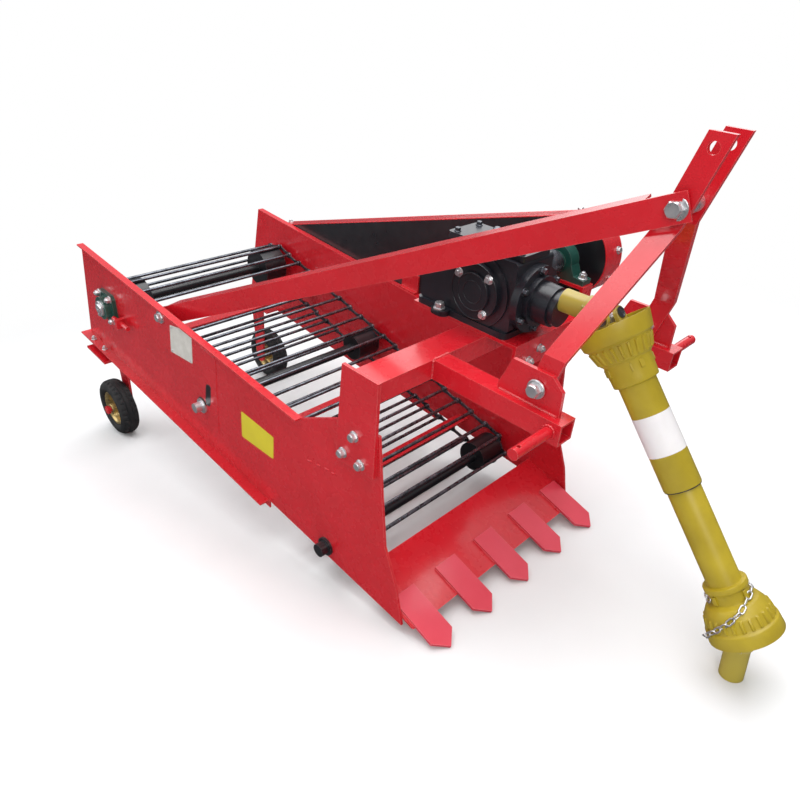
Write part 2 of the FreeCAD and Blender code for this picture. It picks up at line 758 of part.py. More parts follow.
def wheel_bracket():
    arm_y = wheel_y + hub_length / 2 + 5
    top = plate_bottom(wheel_x) - rail_leg
    slope_drop = abs(plate_bottom(wheel_x + 65) - plate_bottom(wheel_x - 65)) / 2
    half = wheel_plate_length / 2
    plate = slab([(wheel_x - half, top + slope_drop), (wheel_x + half, top - slope_drop),
                  (wheel_x + half, top - slope_drop - 7), (wheel_x - half, top + slope_drop - 7)],
                 right_out - rail_leg - 8, arm_y + wheel_arm_t)
    w = wheel_arm_width / 2
    arm = slab([(wheel_x - w - 14, top - 6), (wheel_x + w + 14, top - 6), (wheel_x + w, wheel_z - 12),
                (wheel_x + w - 12, wheel_z - w), (wheel_x - w + 12, wheel_z - w), (wheel_x - w, wheel_z - 12)],
               arm_y, arm_y + wheel_arm_t)
    stub = rod(V(wheel_x, arm_y + wheel_arm_t, wheel_z), Y_DIR * -1, stub_r, hub_length + wheel_arm_t + 5 + 16)
    nut = rod(V(wheel_x, wheel_y - hub_length / 2 - 5, wheel_z), Y_DIR * -1, 15, 9)
    return fuse(plate, arm, stub, nut)


# Driveline: built along the line from the joint's centre, which falls at line_angle
joint = V(joint_x, hitch_y, joint_z)
line_dir = V(math.cos(line_angle), 0, -math.sin(line_angle))
line_up = V(math.sin(line_angle), 0, math.cos(line_angle))
floor_normal = V(-math.sin(park_pitch), 0, math.cos(park_pitch))


def spun(profile, origin, direction):
    """Profile of (distance along, radius) pairs turned about a line."""
    side = V(0, 1, 0)
    wire = Part.makePolygon([origin + direction * s + side * r for s, r in profile + profile[:1]])
    return Part.Face(wire).revolve(origin, direction, 360)


def ear(origin, along, across, normal, sign):
    """One ear of a yoke: a flat tongue with a round end and a bore for the cross."""
    inner = across * (sign * ear_inner)
    start = origin + inner
    tongue_pts = [start - normal * ear_half, start + normal * ear_half,
                  start + normal * ear_half - along * hub_back, start - normal * ear_half - along * hub_back]
    tongue = Part.Face(Part.makePolygon(tongue_pts + tongue_pts[:1])).extrude(across * (sign * ear_t))
    tip = rod(start, across * sign, ear_half, ear_t)
    return fuse(tongue, tip).cut(rod(origin, across * sign, cross_r + run_clear, 60))


def yoke(origin, along, across, hub_length):
    """Hub behind the joint's centre, with two ears that reach it; along points to the joint."""
    normal = along.cross(across)
    hub_front = origin - along * (hub_back - bridge_t)
    hub = rod(hub_front - along * hub_length, along, yoke_hub_r, hub_length)
    bridge = rod(origin - along * hub_back, along, ear_inner + ear_t, bridge_t)
    return fuse(hub, bridge, ear(origin, along, across, normal, 1), ear(origin, along, across, normal, -1))


def joint_cross(origin, across_a, across_b):
    arms = [rod(origin - a * cross_half, a, cross_r, 2 * cross_half) for a in (across_a, across_b)]
    along = across_a.cross(across_b)
    h = cross_body / 2
    corner = origin - along * h - across_a * h - across_b * h
    pts = [corner, corner + across_a * cross_body, corner + (across_a + across_b) * cross_body, corner + across_b * cross_body]
    return fuse(*arms, Part.Face(Part.makePolygon(pts + pts[:1])).extrude(along * cross_body))


def input_yoke():
    return yoke(joint, X_DIR, Y_DIR, joint_x - hub_back + bridge_t - input_front_x)


floor_drop = (joint - pitch_tip).dot(floor_normal)
line_length = (floor_drop - yoke_drop) / math.sin(line_angle + park_pitch)
lower_joint = joint + line_dir * line_length


def upper_yoke():
    body = yoke(joint, line_dir * -1, line_up, 20)
    return fuse(body, rod(joint + line_dir * (hub_back + 2), line_dir, stub_shaft_r, stub_shaft_end - hub_back - 2))


def outer_guard():
    tube_bore, seat_r = inner_tube_r + slide_clear, stub_shaft_r + fit_gap
    seat_near, seat_far = upper_seat
    collar_s, collar_r = upper_cone[-1]
    inside = [(s, r - cone_wall) for s, r in reversed(upper_cone[:-1])]
    profile = upper_cone + [(collar_s + cone_wall, outer_tube_r), (outer_end, outer_tube_r), (outer_end, tube_bore),
                            (seat_far, tube_bore), (seat_far, seat_r), (seat_near, seat_r),
                            (seat_near, collar_r - cone_wall)] + inside
    return spun(profile, joint, line_dir)


def inner_guard():
    end = line_length
    top, seat_r = outer_end - tube_overlap, yoke_hub_r + fit_gap
    back, ring_end = end + lower_cone_back, end - cone_seat - 6
    outside = [(end + s, r) for s, r in lower_cone]
    inside = [(s, r - cone_wall) for s, r in reversed(outside[:-1])]
    profile = [(top, 0), (end - cone_seat, 0), (end - cone_seat, seat_r), (back, seat_r),
               (back, lower_cone[-1][1] - cone_wall)] + inside + outside + [
        (outside[-1][0] - 4, lower_collar_r), (ring_end + lower_ring_width, lower_collar_r),
        (ring_end + lower_ring_width, lower_ring_r), (ring_end, lower_ring_r), (ring_end, inner_tube_r), (top, inner_tube_r)]
    return spun(profile, joint, line_dir)


def lower_driveline_yoke():
    return yoke(lower_joint, line_dir, line_up, cone_seat - hub_back + bridge_t)


def tractor_yoke():
    down = floor_normal * -1
    side = Y_DIR
    body = yoke(lower_joint, floor_normal, side, yoke_drop - hub_back + bridge_t)
    bore = rod(lower_joint + down * (yoke_drop + 1), floor_normal, bore_r, bore_length + 1)
    return body.cut(bore)


pieces = {
    "side_plate_right": drilled(side_plate()),
    "side_plate_left": mirrored(side_plate()),
    "bottom_rail_right": bottom_rail(),
    "bottom_rail_left": mirrored(bottom_rail()),
    "upright_bracket_right": upright_bracket(),
    "upright_bracket_left": mirrored(upright_bracket()),
    "cross_beam": cross_beam(),
    "top_brace": top_brace(),
    "brace_bolt": brace_bolt(),
    "mast_bolt": mast_bolt(),
    "shovel_plate": shovel_plate(),
    "shovel_tines": shovel_tines(),
    "rod_chain": rod_chain(),
    "rear_drive_shaft": drum_pair(rear_axle, rear_drum_r, right_out - bearing_boss_out - 8, case_far_y - 20),
    "front_idler": drum_pair(front_axle, front_drum_r, right_out - 14, left_out + 14),
    "middle_roller": drum_pair(roller_axis(), roller_r, 0, channel_width),
    "rear_bearing_right": rear_bearing(),
    "rear_bearing_left": mirrored(rear_bearing()),
    "tension_screw_right": tension_screw(lug_size),
    "tension_screw_left": mirrored(tension_screw(case_gap - 1)),
    "idler_hubs": Part.makeCompound([idler_hub(), mirrored(idler_hub())]),
    "roller_bolts": Part.makeCompound([roller_bolt(), mirrored(roller_bolt())]),
    "cross_bars": Part.makeCompound([cross_bar(x) for x in bar_places]),
    "gearbox_platform": gearbox_platform(),
    "gearbox_housing": gearbox_housing(),
    "gearbox_cap": gearbox_cap(),
    "gearbox_input": gearbox_input(),
    "output_shaft": output_shaft(),
    "pillow_block": pillow_block(),
    "bearing_stand": bearing_stand(),
    "case_back": case_back(),
    "case_cover": case_cover(),
    "case_stays": case_stays(),
    "input_yoke": input_yoke(),
    "driveline_cross": joint_cross(joint, Y_DIR, line_up),
    "upper_yoke": upper_yoke(),
    "outer_guard": outer_guard(),
    "inner_guard": inner_guard(),
    "lower_yoke": lower_driveline_yoke(),
    "lower_cross": joint_cross(lower_joint, Y_DIR, line_up),
    "tractor_yoke": tractor_yoke(),
}
for name, y, side in (("right", tube_ys[0], -1), ("left", tube_ys[1], 1)):
    pieces["hitch_tube_" + name] = hitch_tube(y)
    pieces["lower_pin_" + name] = lower_pin(y, side)
    pieces["mast_foot_" + name] = mast_foot(y)
    pieces["mast_strap_" + name] = mast_strap(y, side)
    pieces["foot_bolt_" + name] = foot_bolt(y)
for name, turn in (("right", lambda s: s), ("left", mirrored)):
    pieces["wheel_tyre_" + name] = turn(wheel_tyre())
    pieces["wheel_rim_" + name] = turn(wheel_rim())
    pieces["wheel_bracket_" + name] = turn(wheel_bracket())

# Park on the floor and centre the origin under the whole machine
for name, shape in pieces.items():
    shape.rotate(pitch_tip, Y_DIR, math.degrees(park_pitch))
total = FreeCAD.BoundBox()
for shape in pieces.values():
    total.add(shape.optimalBoundingBox())
shift = V(-(total.XMin + total.XMax) / 2, -(total.YMin + total.YMax) / 2, -total.ZMin)
os.makedirs("parts", exist_ok=True)
for name, shape in pieces.items():
    shape.translated(shift).exportStep("parts/" + name + ".step")


def parked(point):
    turned = Part.Vertex(point)
    turned.rotate(pitch_tip, Y_DIR, math.degrees(park_pitch))
    return turned.Point + shift


def turned_dir(direction):
    return parked(direction) - parked(V(0, 0, 0))


print("size", total.XLength, total.YLength, total.ZLength)
for label, point in (("tip", pitch_tip), ("wheel", V(wheel_x, wheel_y, wheel_z)), ("joint", joint),
                     ("lower_joint", lower_joint)):
    print(label, *parked(point))
for label, direction in (("line", line_dir), ("up", line_up)):
    print(label, *turned_dir(direction))
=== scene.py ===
import json
import math

import bmesh
import bpy
import numpy as np
from mathutils import Matrix, Vector


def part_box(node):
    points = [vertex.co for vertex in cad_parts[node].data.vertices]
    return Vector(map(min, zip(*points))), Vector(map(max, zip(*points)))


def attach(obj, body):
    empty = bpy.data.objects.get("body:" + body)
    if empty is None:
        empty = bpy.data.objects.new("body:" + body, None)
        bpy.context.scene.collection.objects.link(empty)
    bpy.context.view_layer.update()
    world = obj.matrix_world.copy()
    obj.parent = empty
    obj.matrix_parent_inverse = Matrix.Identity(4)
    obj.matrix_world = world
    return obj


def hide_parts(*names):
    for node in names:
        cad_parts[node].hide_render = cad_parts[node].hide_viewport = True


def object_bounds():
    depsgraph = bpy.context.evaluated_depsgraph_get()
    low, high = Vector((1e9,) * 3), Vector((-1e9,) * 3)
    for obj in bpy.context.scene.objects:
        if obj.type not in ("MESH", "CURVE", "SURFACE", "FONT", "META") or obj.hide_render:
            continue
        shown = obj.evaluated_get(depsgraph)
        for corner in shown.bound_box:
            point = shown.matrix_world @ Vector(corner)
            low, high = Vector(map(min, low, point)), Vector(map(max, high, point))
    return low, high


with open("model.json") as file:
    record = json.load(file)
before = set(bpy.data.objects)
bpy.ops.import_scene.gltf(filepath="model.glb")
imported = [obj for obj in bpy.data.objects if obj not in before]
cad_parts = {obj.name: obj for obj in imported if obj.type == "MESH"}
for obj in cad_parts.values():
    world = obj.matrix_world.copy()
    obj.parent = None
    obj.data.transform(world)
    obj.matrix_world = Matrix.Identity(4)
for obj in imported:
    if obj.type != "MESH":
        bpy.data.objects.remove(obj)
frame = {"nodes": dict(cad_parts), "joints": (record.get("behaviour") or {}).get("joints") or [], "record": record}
cadLow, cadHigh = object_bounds()
nodes = frame["nodes"]
joints = {j["name"]: j for j in frame["joints"]}
print("frame loaded:", len(nodes), "nodes")

# The digger is laid out in its own axes, x forward along the hitch tubes, y from the right plate,
# z up from its toe, in millimetres; it is parked nose down, so places are turned before use
parking = {"pitch": 8.75, "jointX": 118.0, "jointY": 378.0, "jointZ": 690.0}
turnCos, turnSin = math.cos(math.radians(parking["pitch"])), math.sin(math.radians(parking["pitch"]))
jointAt = np.array(joints["driveline_lift"]["pos_m"])


# Digger's own millimetres to the parked frame in metres: shift to the joint, turn about Y, scale
def place(points):
    p = np.asarray(points, float) - [parking["jointX"], parking["jointY"], parking["jointZ"]]
    x, y, z = p[..., 0], p[..., 1], p[..., 2]
    parked = np.stack([x * turnCos + z * turnSin, y, -x * turnSin + z * turnCos], -1)
    return parked / 1000 + jointAt


# A direction in the digger's own axes, turned to the parked frame
def turn(direction):
    x, y, z = direction
    return np.array([x * turnCos + z * turnSin, y, -x * turnSin + z * turnCos])


# Camera where the photograph was taken, found from the hitch, plates and tines
view = {"at": (1.26195, -1.07910, 1.12270), "lens": 29.494, "shiftX": -0.00455, "shiftY": 0.01396,
        "right": (0.7051941, 0.70759, -0.0449193), "down": (0.296008, -0.35139, -0.8882071),
        "ahead": (-0.6442756, 0.61306, -0.4572422)}


def makeCamera():
    data = bpy.data.cameras.new("camera")
    data.lens, data.sensor_width = view["lens"], 36
    data.shift_x, data.shift_y = view["shiftX"], view["shiftY"]
    data.clip_end = 60
    camera = bpy.data.objects.new("camera", data)
    bpy.context.collection.objects.link(camera)
    columns = np.array([view["right"], [-v for v in view["down"]], [-v for v in view["ahead"]]]).T
    facing = Matrix([list(row) for row in columns]).to_4x4()
    camera.matrix_world = Matrix.Translation(Vector(view["at"])) @ facing
    bpy.context.scene.camera = camera


# Meshes from grids of points. Quads join neighbouring rows and columns, and run round again
# where a side is closed
def gridFaces(rows, cols, closeRows, closeCols, first=0):
    i = np.arange(rows if closeRows else rows - 1)
    j = np.arange(cols if closeCols else cols - 1)
    a, b = np.meshgrid(i, j, indexing="ij")
    a, b = a.ravel(), b.ravel()
    a2, b2 = (a + 1) % rows, (b + 1) % cols
    return np.stack([a * cols + b, a2 * cols + b, a2 * cols + b2, a * cols + b2], 1) + first


# Joins grids of points, each with its closed sides, into one piece on a body
def meshFrom(name, parts, slot, body, smooth=40, finish=None):
    verts, faces, count = [], [], 0
    for points, closeRows, closeCols in parts:
        rows, cols = points.shape[:2]
        verts.append(points.reshape(-1, 3))
        faces.append(gridFaces(rows, cols, closeRows, closeCols, count))
        count += rows * cols
    verts, faces = np.concatenate(verts), np.concatenate(faces)
    mesh = bpy.data.meshes.new(name)
    mesh.vertices.add(len(verts))
    mesh.vertices.foreach_set("co", verts.ravel())
    mesh.loops.add(faces.size)
    mesh.loops.foreach_set("vertex_index", faces.ravel())
    mesh.polygons.add(len(faces))
    mesh.polygons.foreach_set("loop_start", np.arange(0, faces.size, 4))
    mesh.update(calc_edges=True)
    obj = bpy.data.objects.new(name, mesh)
    bpy.context.collection.objects.link(obj)
    tidyMesh(obj, smooth)
    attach(obj, body)
    obj.data.materials.append(finish or finishes[slot])
    return obj


# Merges doubles, drops flat faces, points all outwards and marks edges over the angle sharp
def tidyMesh(obj, smooth):
    bm = bmesh.new()
    bm.from_mesh(obj.data)
    bmesh.ops.remove_doubles(bm, verts=bm.verts, dist=2e-6)
    bmesh.ops.dissolve_degenerate(bm, edges=bm.edges, dist=1e-7)
    bmesh.ops.recalc_face_normals(bm, faces=bm.faces)
    for edge in bm.edges:
        if len(edge.link_faces) == 2:
            edge.smooth = edge.calc_face_angle(0) < math.radians(smooth)
    for face in bm.faces:
        face.smooth = True
    bm.to_mesh(obj.data)
    bm.free()


# A direction and two unit vectors square to it and to each other
def sideAxes(direction):
    d = np.asarray(direction, float) / np.linalg.norm(direction)
    helper = np.array([0, 0, 1.0]) if abs(d[2]) < 0.9 else np.array([1.0, 0, 0])
    u = np.cross(helper, d)
    u /= np.linalg.norm(u)
    return d, u, np.cross(d, u)


# Corners of a closed outline eased by B(t) = (1-t)^2 A + 2t(1-t) P + t^2 C between points on both sides
def eased(corners, radius, steps=4):
    p = np.asarray(corners, float)
    back, ahead = np.roll(p, 1, 0) - p, np.roll(p, -1, 0) - p
    backLen, aheadLen = np.linalg.norm(back, axis=1), np.linalg.norm(ahead, axis=1)
    reach = np.minimum(radius, 0.45 * np.minimum(backLen, aheadLen))[:, None]
    a = p + back / backLen[:, None] * reach
    c = p + ahead / aheadLen[:, None] * reach
    t = np.linspace(0, 1, steps)[None, :, None]
    curve = (1 - t) ** 2 * a[:, None] + 2 * t * (1 - t) * p[:, None] + t ** 2 * c[:, None]
    return curve.reshape(-1, p.shape[1])


# Profile of (along, radius) pairs turned about a line: P = O + d s + r (u cos t + w sin t)
def turned(profile, origin, direction, steps=32, closed=False):
    d, u, w = sideAxes(direction)
    s, r = np.asarray(profile, float).T
    t = np.linspace(0, 2 * math.pi, steps, endpoint=False)
    ring = np.cos(t)[None, :, None] * u + np.sin(t)[None, :, None] * w
    points = np.asarray(origin, float) + s[:, None, None] * d + r[:, None, None] * ring
    return points, closed, True


# A round section carried along a path, its side axes passed on from point to point
def tube(path, radius, sides=10, closed=False, roll=0.0):
    path = np.asarray(path, float)
    ahead = np.gradient(path, axis=0) if not closed else np.roll(path, -1, 0) - np.roll(path, 1, 0)
    ahead /= np.linalg.norm(ahead, axis=1)[:, None]
    _, u, _ = sideAxes(ahead[0])
    us = []
    for a in ahead:
        u = u - a * (u @ a)
        u = u / np.linalg.norm(u)
        us.append(u)
    us = np.array(us)
    ws = np.cross(ahead, us)
    t = np.linspace(0, 2 * math.pi, sides, endpoint=False) + roll
    radius = np.broadcast_to(radius, len(path))[:, None, None]
    points = path[:, None, :] + radius * (np.cos(t)[None, :, None] * us[:, None, :]
                                          + np.sin(t)[None, :, None] * ws[:, None, :])
    if not closed:
        start, end = path[None, :1], path[None, -1:]
        points = np.concatenate([start.repeat(sides, 1), points, end.repeat(sides, 1)])
    return points, closed, True


# Flat plate with eased edges: the outline at four depths, closed at its middle on both faces
def plateGrid(outline, depth, bevel):
    outline, depth = np.asarray(outline, float), np.asarray(depth, float)
    centre = outline.mean(0)
    reach = np.linalg.norm(outline - centre, axis=1)[:, None]
    inner = centre + (outline - centre) * (1 - bevel / reach)
    n = depth / np.linalg.norm(depth)
    rings = [centre + 0 * outline, inner, outline + n * bevel, outline + depth - n * bevel,
             inner + depth, centre + depth + 0 * outline]
    return np.array(rings), False, True


# Plate on an upright plane of the digger: (x, z) corners in millimetres at y, carried by deep
def sidePlate(corners, y, deep, radius=3.0, bevel=0.6):
    flat = eased(corners, radius)
    outline = place(np.stack([flat[:, 0], np.full(len(flat), y), flat[:, 1]], 1))
    return plateGrid(outline, np.array([0, deep / 1000, 0]), bevel / 1000)


# Hexagon with its corners turned off: r = (across/2) / cos of the angle from a flat's middle
def hexHead(origin, direction, across, height, steps=48):
    d, u, w = sideAxes(direction)
    t = np.linspace(0, 2 * math.pi, steps, endpoint=False)
    flat = across / 2 / np.cos((t % (math.pi / 3)) - math.pi / 6)
    plain = np.full_like(t, across / 2)
    ring = np.cos(t)[:, None] * u + np.sin(t)[:, None] * w
    rows = [(0, 0 * plain), (0, flat), (height * 0.82, flat), (height, 0.93 * plain), (height, 0 * plain)]
    grid = [origin + s * d + r[:, None] * ring for s, r in rows]
    return np.array(grid), False, True


def washer(origin, direction, radius, thick):
    edge = thick * 0.3
    return turned([(0, 0), (0, radius), (thick - edge, radius), (thick, radius - edge), (thick, 0)],
                  origin, direction, 28)


# Hex heads on washers, all facing one way; shank is the threaded end that stands past a nut
def boltSet(name, places, direction, across, wide, shank=0.0, slot="bare_steel"):
    parts = []
    n = np.asarray(direction, float) / np.linalg.norm(direction)
    for at in places:
        at = np.asarray(at, float)
        parts.append(washer(at, n, wide, across * 0.16))
        parts.append(hexHead(at + n * across * 0.16, n, across, across * 0.6))
        if shank:
            top, r = across * 0.76, across * 0.31
            end = top + shank
            profile = [(top, 0), (top, r), (end - r * 0.3, r), (end, r * 0.7), (end, 0)]
            parts.append(turned(profile, at, n, 20))
    meshFrom(name, parts, slot, "frame", 30)


# Finishes
def nodeTree(name):
    material = bpy.data.materials.new(name)
    material.use_nodes = True
    tree = material.node_tree
    return material, tree, tree.nodes["Principled BSDF"]


def add(tree, kind, **values):
    node = tree.nodes.new(kind)
    for key, value in values.items():
        setattr(node, key, value)
    return node


def noiseNode(tree, scale, detail=4.0, rough=0.55):
    coords = tree.nodes.get("Texture Coordinate") or tree.nodes.new("ShaderNodeTexCoord")
    noise = add(tree, "ShaderNodeTexNoise")
    noise.inputs["Scale"].default_value = scale
    noise.inputs["Detail"].default_value = detail
    noise.inputs["Roughness"].default_value = rough
    tree.links.new(coords.outputs["Object"], noise.inputs["Vector"])
    return noise


def ramp(tree, source, stops):
    node = add(tree, "ShaderNodeValToRGB")
    elements = node.color_ramp.elements
    while len(elements) < len(stops):
        elements.new(0.5)
    for element, (at, colour) in zip(elements, stops):
        element.position = at
        element.color = (*colour, 1)
    tree.links.new(source, node.inputs["Fac"])
    return node


def bump(tree, shader, source, strength, distance):
    node = add(tree, "ShaderNodeBump")
    node.inputs["Strength"].default_value = strength
    node.inputs["Distance"].default_value = distance
    tree.links.new(source, node.inputs["Height"])
    tree.links.new(node.outputs["Normal"], shader.inputs["Normal"])
    return node


# Mixes a worn colour in where a rounded normal b departs from the flat one n,
# mask = 6 (1 - n.b) + 0.3 noise
def edgeWear(tree, base, worn, reach, low, high):
    bevel = add(tree, "ShaderNodeBevel", samples=4)
    bevel.inputs["Radius"].default_value = reach
    geometry = add(tree, "ShaderNodeNewGeometry")
    dot = add(tree, "ShaderNodeVectorMath", operation="DOT_PRODUCT")
    tree.links.new(bevel.outputs["Normal"], dot.inputs[0])
    tree.links.new(geometry.outputs["Normal"], dot.inputs[1])
    bend = add(tree, "ShaderNodeMath", operation="MULTIPLY_ADD")
    bend.inputs[1].default_value = -6.0
    bend.inputs[2].default_value = 6.0
    tree.links.new(dot.outputs["Value"], bend.inputs[0])
    mix = add(tree, "ShaderNodeMath", operation="MULTIPLY_ADD")
    mix.inputs[1].default_value = 0.3
    tree.links.new(noiseNode(tree, 90, 5).outputs["Fac"], mix.inputs[0])
    tree.links.new(bend.outputs[0], mix.inputs[2])
    mask = ramp(tree, mix.outputs[0], [(low, (0, 0, 0)), (high, (1, 1, 1))])
    blendNode = add(tree, "ShaderNodeMix", data_type="RGBA")
    tree.links.new(mask.outputs["Color"], blendNode.inputs["Factor"])
    tree.links.new(base, blendNode.inputs["A"])
    blendNode.inputs["B"].default_value = (*worn, 1)
    return blendNode.outputs["Result"]


# Roughness that wanders between two values
def uneven(tree, shader, noise, low, high):
    node = ramp(tree, noise.outputs["Fac"], [(0.3, (low,) * 3), (0.75, (high,) * 3)])
    tree.links.new(node.outputs["Color"], shader.inputs["Roughness"])


# Sprayed paint: slight cloudiness, sheet that isn't quite flat, worn edges and a thin clear skin
def paint(name, colour, darker, rough, coat, worn):
    material, tree, shader = nodeTree(name)
    cloud = noiseNode(tree, 6, 5)
    base = ramp(tree, cloud.outputs["Fac"], [(0.3, darker), (0.7, colour)]).outputs["Color"]
    base = edgeWear(tree, base, worn, 0.0012, 0.36, 0.75)
    tree.links.new(base, shader.inputs["Base Color"])
    uneven(tree, shader, noiseNode(tree, 28, 6), rough * 0.8, rough * 1.25)
    bump(tree, shader, noiseNode(tree, 7, 1).outputs["Fac"], 0.05, 0.003)
    shader.inputs["Coat Weight"].default_value = coat
    shader.inputs["Coat Roughness"].default_value = 0.12
    return material


# Bare or plated metal: cloudy tone and fine scratches
def metal(name, colour, darker, rough, scratches=0.08, metallic=1.0):
    material, tree, shader = nodeTree(name)
    cloud = noiseNode(tree, 35, 6)
    base = ramp(tree, cloud.outputs["Fac"], [(0.35, darker), (0.7, colour)])
    tree.links.new(base.outputs["Color"], shader.inputs["Base Color"])
    shader.inputs["Metallic"].default_value = metallic
    uneven(tree, shader, noiseNode(tree, 60, 6), rough * 0.7, rough * 1.3)
    bump(tree, shader, noiseNode(tree, 160, 3).outputs["Fac"], scratches, 0.0005)
    return material


# Painted sand casting: coarse skin under semi-gloss paint
def casting(name, colour, darker, rough):
    material, tree, shader = nodeTree(name)
    cloud = noiseNode(tree, 18, 5)
    base = ramp(tree, cloud.outputs["Fac"], [(0.3, darker), (0.75, colour)])
    tree.links.new(base.outputs["Color"], shader.inputs["Base Color"])
    shader.inputs["Roughness"].default_value = rough
    shader.inputs["Coat Weight"].default_value = 0.25
    shader.inputs["Coat Roughness"].default_value = 0.2
    bump(tree, shader, noiseNode(tree, 230, 5, 0.65).outputs["Fac"], 0.28, 0.0012)
    return material


# Rubber with dust in its hollows
def rubber(name, colour, dust):
    material, tree, shader = nodeTree(name)
    cloud = noiseNode(tree, 30, 8, 0.7)
    base = ramp(tree, cloud.outputs["Fac"], [(0.45, colour), (0.8, dust)])
    tree.links.new(base.outputs["Color"], shader.inputs["Base Color"])
    shader.inputs["Roughness"].default_value = 0.72
    bump(tree, shader, noiseNode(tree, 350, 3).outputs["Fac"], 0.15, 0.0006)
    return material


# Moulded polyethylene: soft sheen, faint flow marks
def plastic(name, colour, darker, rough):
    material, tree, shader = nodeTree(name)
    cloud = noiseNode(tree, 14, 6)
    base = ramp(tree, cloud.outputs["Fac"], [(0.3, darker), (0.7, colour)])
    tree.links.new(base.outputs["Color"], shader.inputs["Base Color"])
    shader.inputs["Roughness"].default_value = rough
    shader.inputs["Subsurface Weight"].default_value = 0.04
    shader.inputs["Subsurface Radius"].default_value = (0.01, 0.008, 0.003)
    bump(tree, shader, noiseNode(tree, 260, 4).outputs["Fac"], 0.1, 0.0006)
    return material


finishes = {
    "red_paint": paint("red_paint", (0.6, 0.011, 0.021), (0.52, 0.008, 0.015), 0.27, 0.55,
                       worn=(0.72, 0.16, 0.15)),
    "black_paint": paint("black_paint", (0.011, 0.011, 0.014), (0.007, 0.007, 0.009), 0.33, 0.25,
                         worn=(0.12, 0.12, 0.13)),
    "green_paint": paint("green_paint", (0.012, 0.085, 0.062), (0.008, 0.05, 0.04), 0.35, 0.3,
                         worn=(0.16, 0.22, 0.2)),
    "black_casting": casting("black_casting", (0.016, 0.018, 0.026), (0.009, 0.01, 0.015), 0.36),
    "dark_steel": metal("dark_steel", (0.24, 0.255, 0.29), (0.09, 0.095, 0.11), 0.3, metallic=0.9),
    "bare_steel": metal("bare_steel", (0.86, 0.86, 0.87), (0.62, 0.62, 0.64), 0.34, metallic=0.85),
    "yellow_paint": paint("yellow_paint", (0.55, 0.43, 0.06), (0.42, 0.33, 0.05), 0.35, 0.25,
                          worn=(0.5, 0.48, 0.4)),
    "gold_rim": metal("gold_rim", (0.62, 0.46, 0.2), (0.42, 0.3, 0.12), 0.32, metallic=0.8),
    "yellow_plastic": plastic("yellow_plastic", (0.45, 0.335, 0.017), (0.35, 0.255, 0.012), 0.4),
    "tyre": rubber("tyre", (0.011, 0.011, 0.013), (0.036, 0.034, 0.032)),
}
paper = plastic("sleeve_paper", (0.82, 0.8, 0.8), (0.76, 0.73, 0.74), 0.3)
palePlate = metal("plate_alloy", (0.8, 0.78, 0.72), (0.66, 0.64, 0.58), 0.38, 0.04, 0.25)
sticker = plastic("yellow_sticker", (0.68, 0.58, 0.02), (0.6, 0.5, 0.02), 0.35)
# Paler, pinker copy of the red paint for the tines: painted highlight for the light their upturned faces catch
tineHighlightPaint = paint("tine_paint_highlight", (0.68, 0.05, 0.085), (0.6, 0.03, 0.055), 0.4, 0.35,
                  worn=(0.8, 0.3, 0.3))


# Every CAD node gets the finish of its own slot, the tines a paler, pinker copy of the red paint that is painted
# highlight
def dressFrame():
    slots = {s["node"]: s["material_slot"] for s in frame["record"]["subparts"]}
    for name, obj in nodes.items():
        obj.data.materials.clear()
        obj.data.materials.append(tineHighlightPaint if name == "shovel_tines" else finishes[slots[name]])


# Floor, sky and lamps. Reflections see a dim floor and a sky that is bright overhead only, as in a yard
stageLook = {"floor": (0.79, 0.79, 0.79), "floorDark": (0.76, 0.76, 0.76), "mirrored": (0.08, 0.08, 0.085),
             "half": 14.0, "fadeFrom": 1.5, "fadeTo": 2.9, "skyLow": 0.12, "skyHigh": 0.85}


def makeStage():
    material, tree, shader = nodeTree("paper_floor")
    grain = noiseNode(tree, 3, 3)
    tone = ramp(tree, grain.outputs["Fac"], [(0.3, stageLook["floorDark"]), (0.7, stageLook["floor"])])
    tree.links.new(tone.outputs["Color"], shader.inputs["Base Color"])
    shader.inputs["Roughness"].default_value = 0.9
    glow = add(tree, "ShaderNodeEmission")
    glow.inputs["Color"].default_value = (1, 1, 1, 1)
    reach = add(tree, "ShaderNodeVectorMath", operation="LENGTH")
    tree.links.new(tree.nodes["Texture Coordinate"].outputs["Object"], reach.inputs[0])
    fade = add(tree, "ShaderNodeMapRange", interpolation_type="SMOOTHSTEP")
    fade.inputs["From Min"].default_value = stageLook["fadeFrom"]
    fade.inputs["From Max"].default_value = stageLook["fadeTo"]
    tree.links.new(reach.outputs["Value"], fade.inputs["Value"])
    path = add(tree, "ShaderNodeLightPath")
    share = add(tree, "ShaderNodeMath", operation="MULTIPLY")
    tree.links.new(fade.outputs["Result"], share.inputs[0])
    tree.links.new(path.outputs["Is Camera Ray"], share.inputs[1])
    whiten = add(tree, "ShaderNodeMixShader")
    tree.links.new(share.outputs[0], whiten.inputs[0])
    tree.links.new(shader.outputs[0], whiten.inputs[1])
    tree.links.new(glow.outputs[0], whiten.inputs[2])
    dim = add(tree, "ShaderNodeBsdfDiffuse")
    dim.inputs["Color"].default_value = (*stageLook["mirrored"], 1)
    dimmed = add(tree, "ShaderNodeMixShader")
    tree.links.new(path.outputs["Is Glossy Ray"], dimmed.inputs[0])
    tree.links.new(whiten.outputs[0], dimmed.inputs[1])
    tree.links.new(dim.outputs[0], dimmed.inputs[2])
    tree.links.new(dimmed.outputs[0], tree.nodes["Material Output"].inputs["Surface"])
    half = stageLook["half"]
    t = np.linspace(-half, half, 3)
    x, y = np.meshgrid(t, t, indexing="ij")
    mesh = bpy.data.meshes.new("floor")
    points = np.stack([x, y, np.full_like(x, -0.0005)], -1).reshape(-1, 3)
    mesh.from_pydata(points.tolist(), [], gridFaces(3, 3, False, False).tolist())
    mesh.materials.append(material)
    floor = bpy.data.objects.new("floor", mesh)
    bpy.context.collection.objects.link(floor)


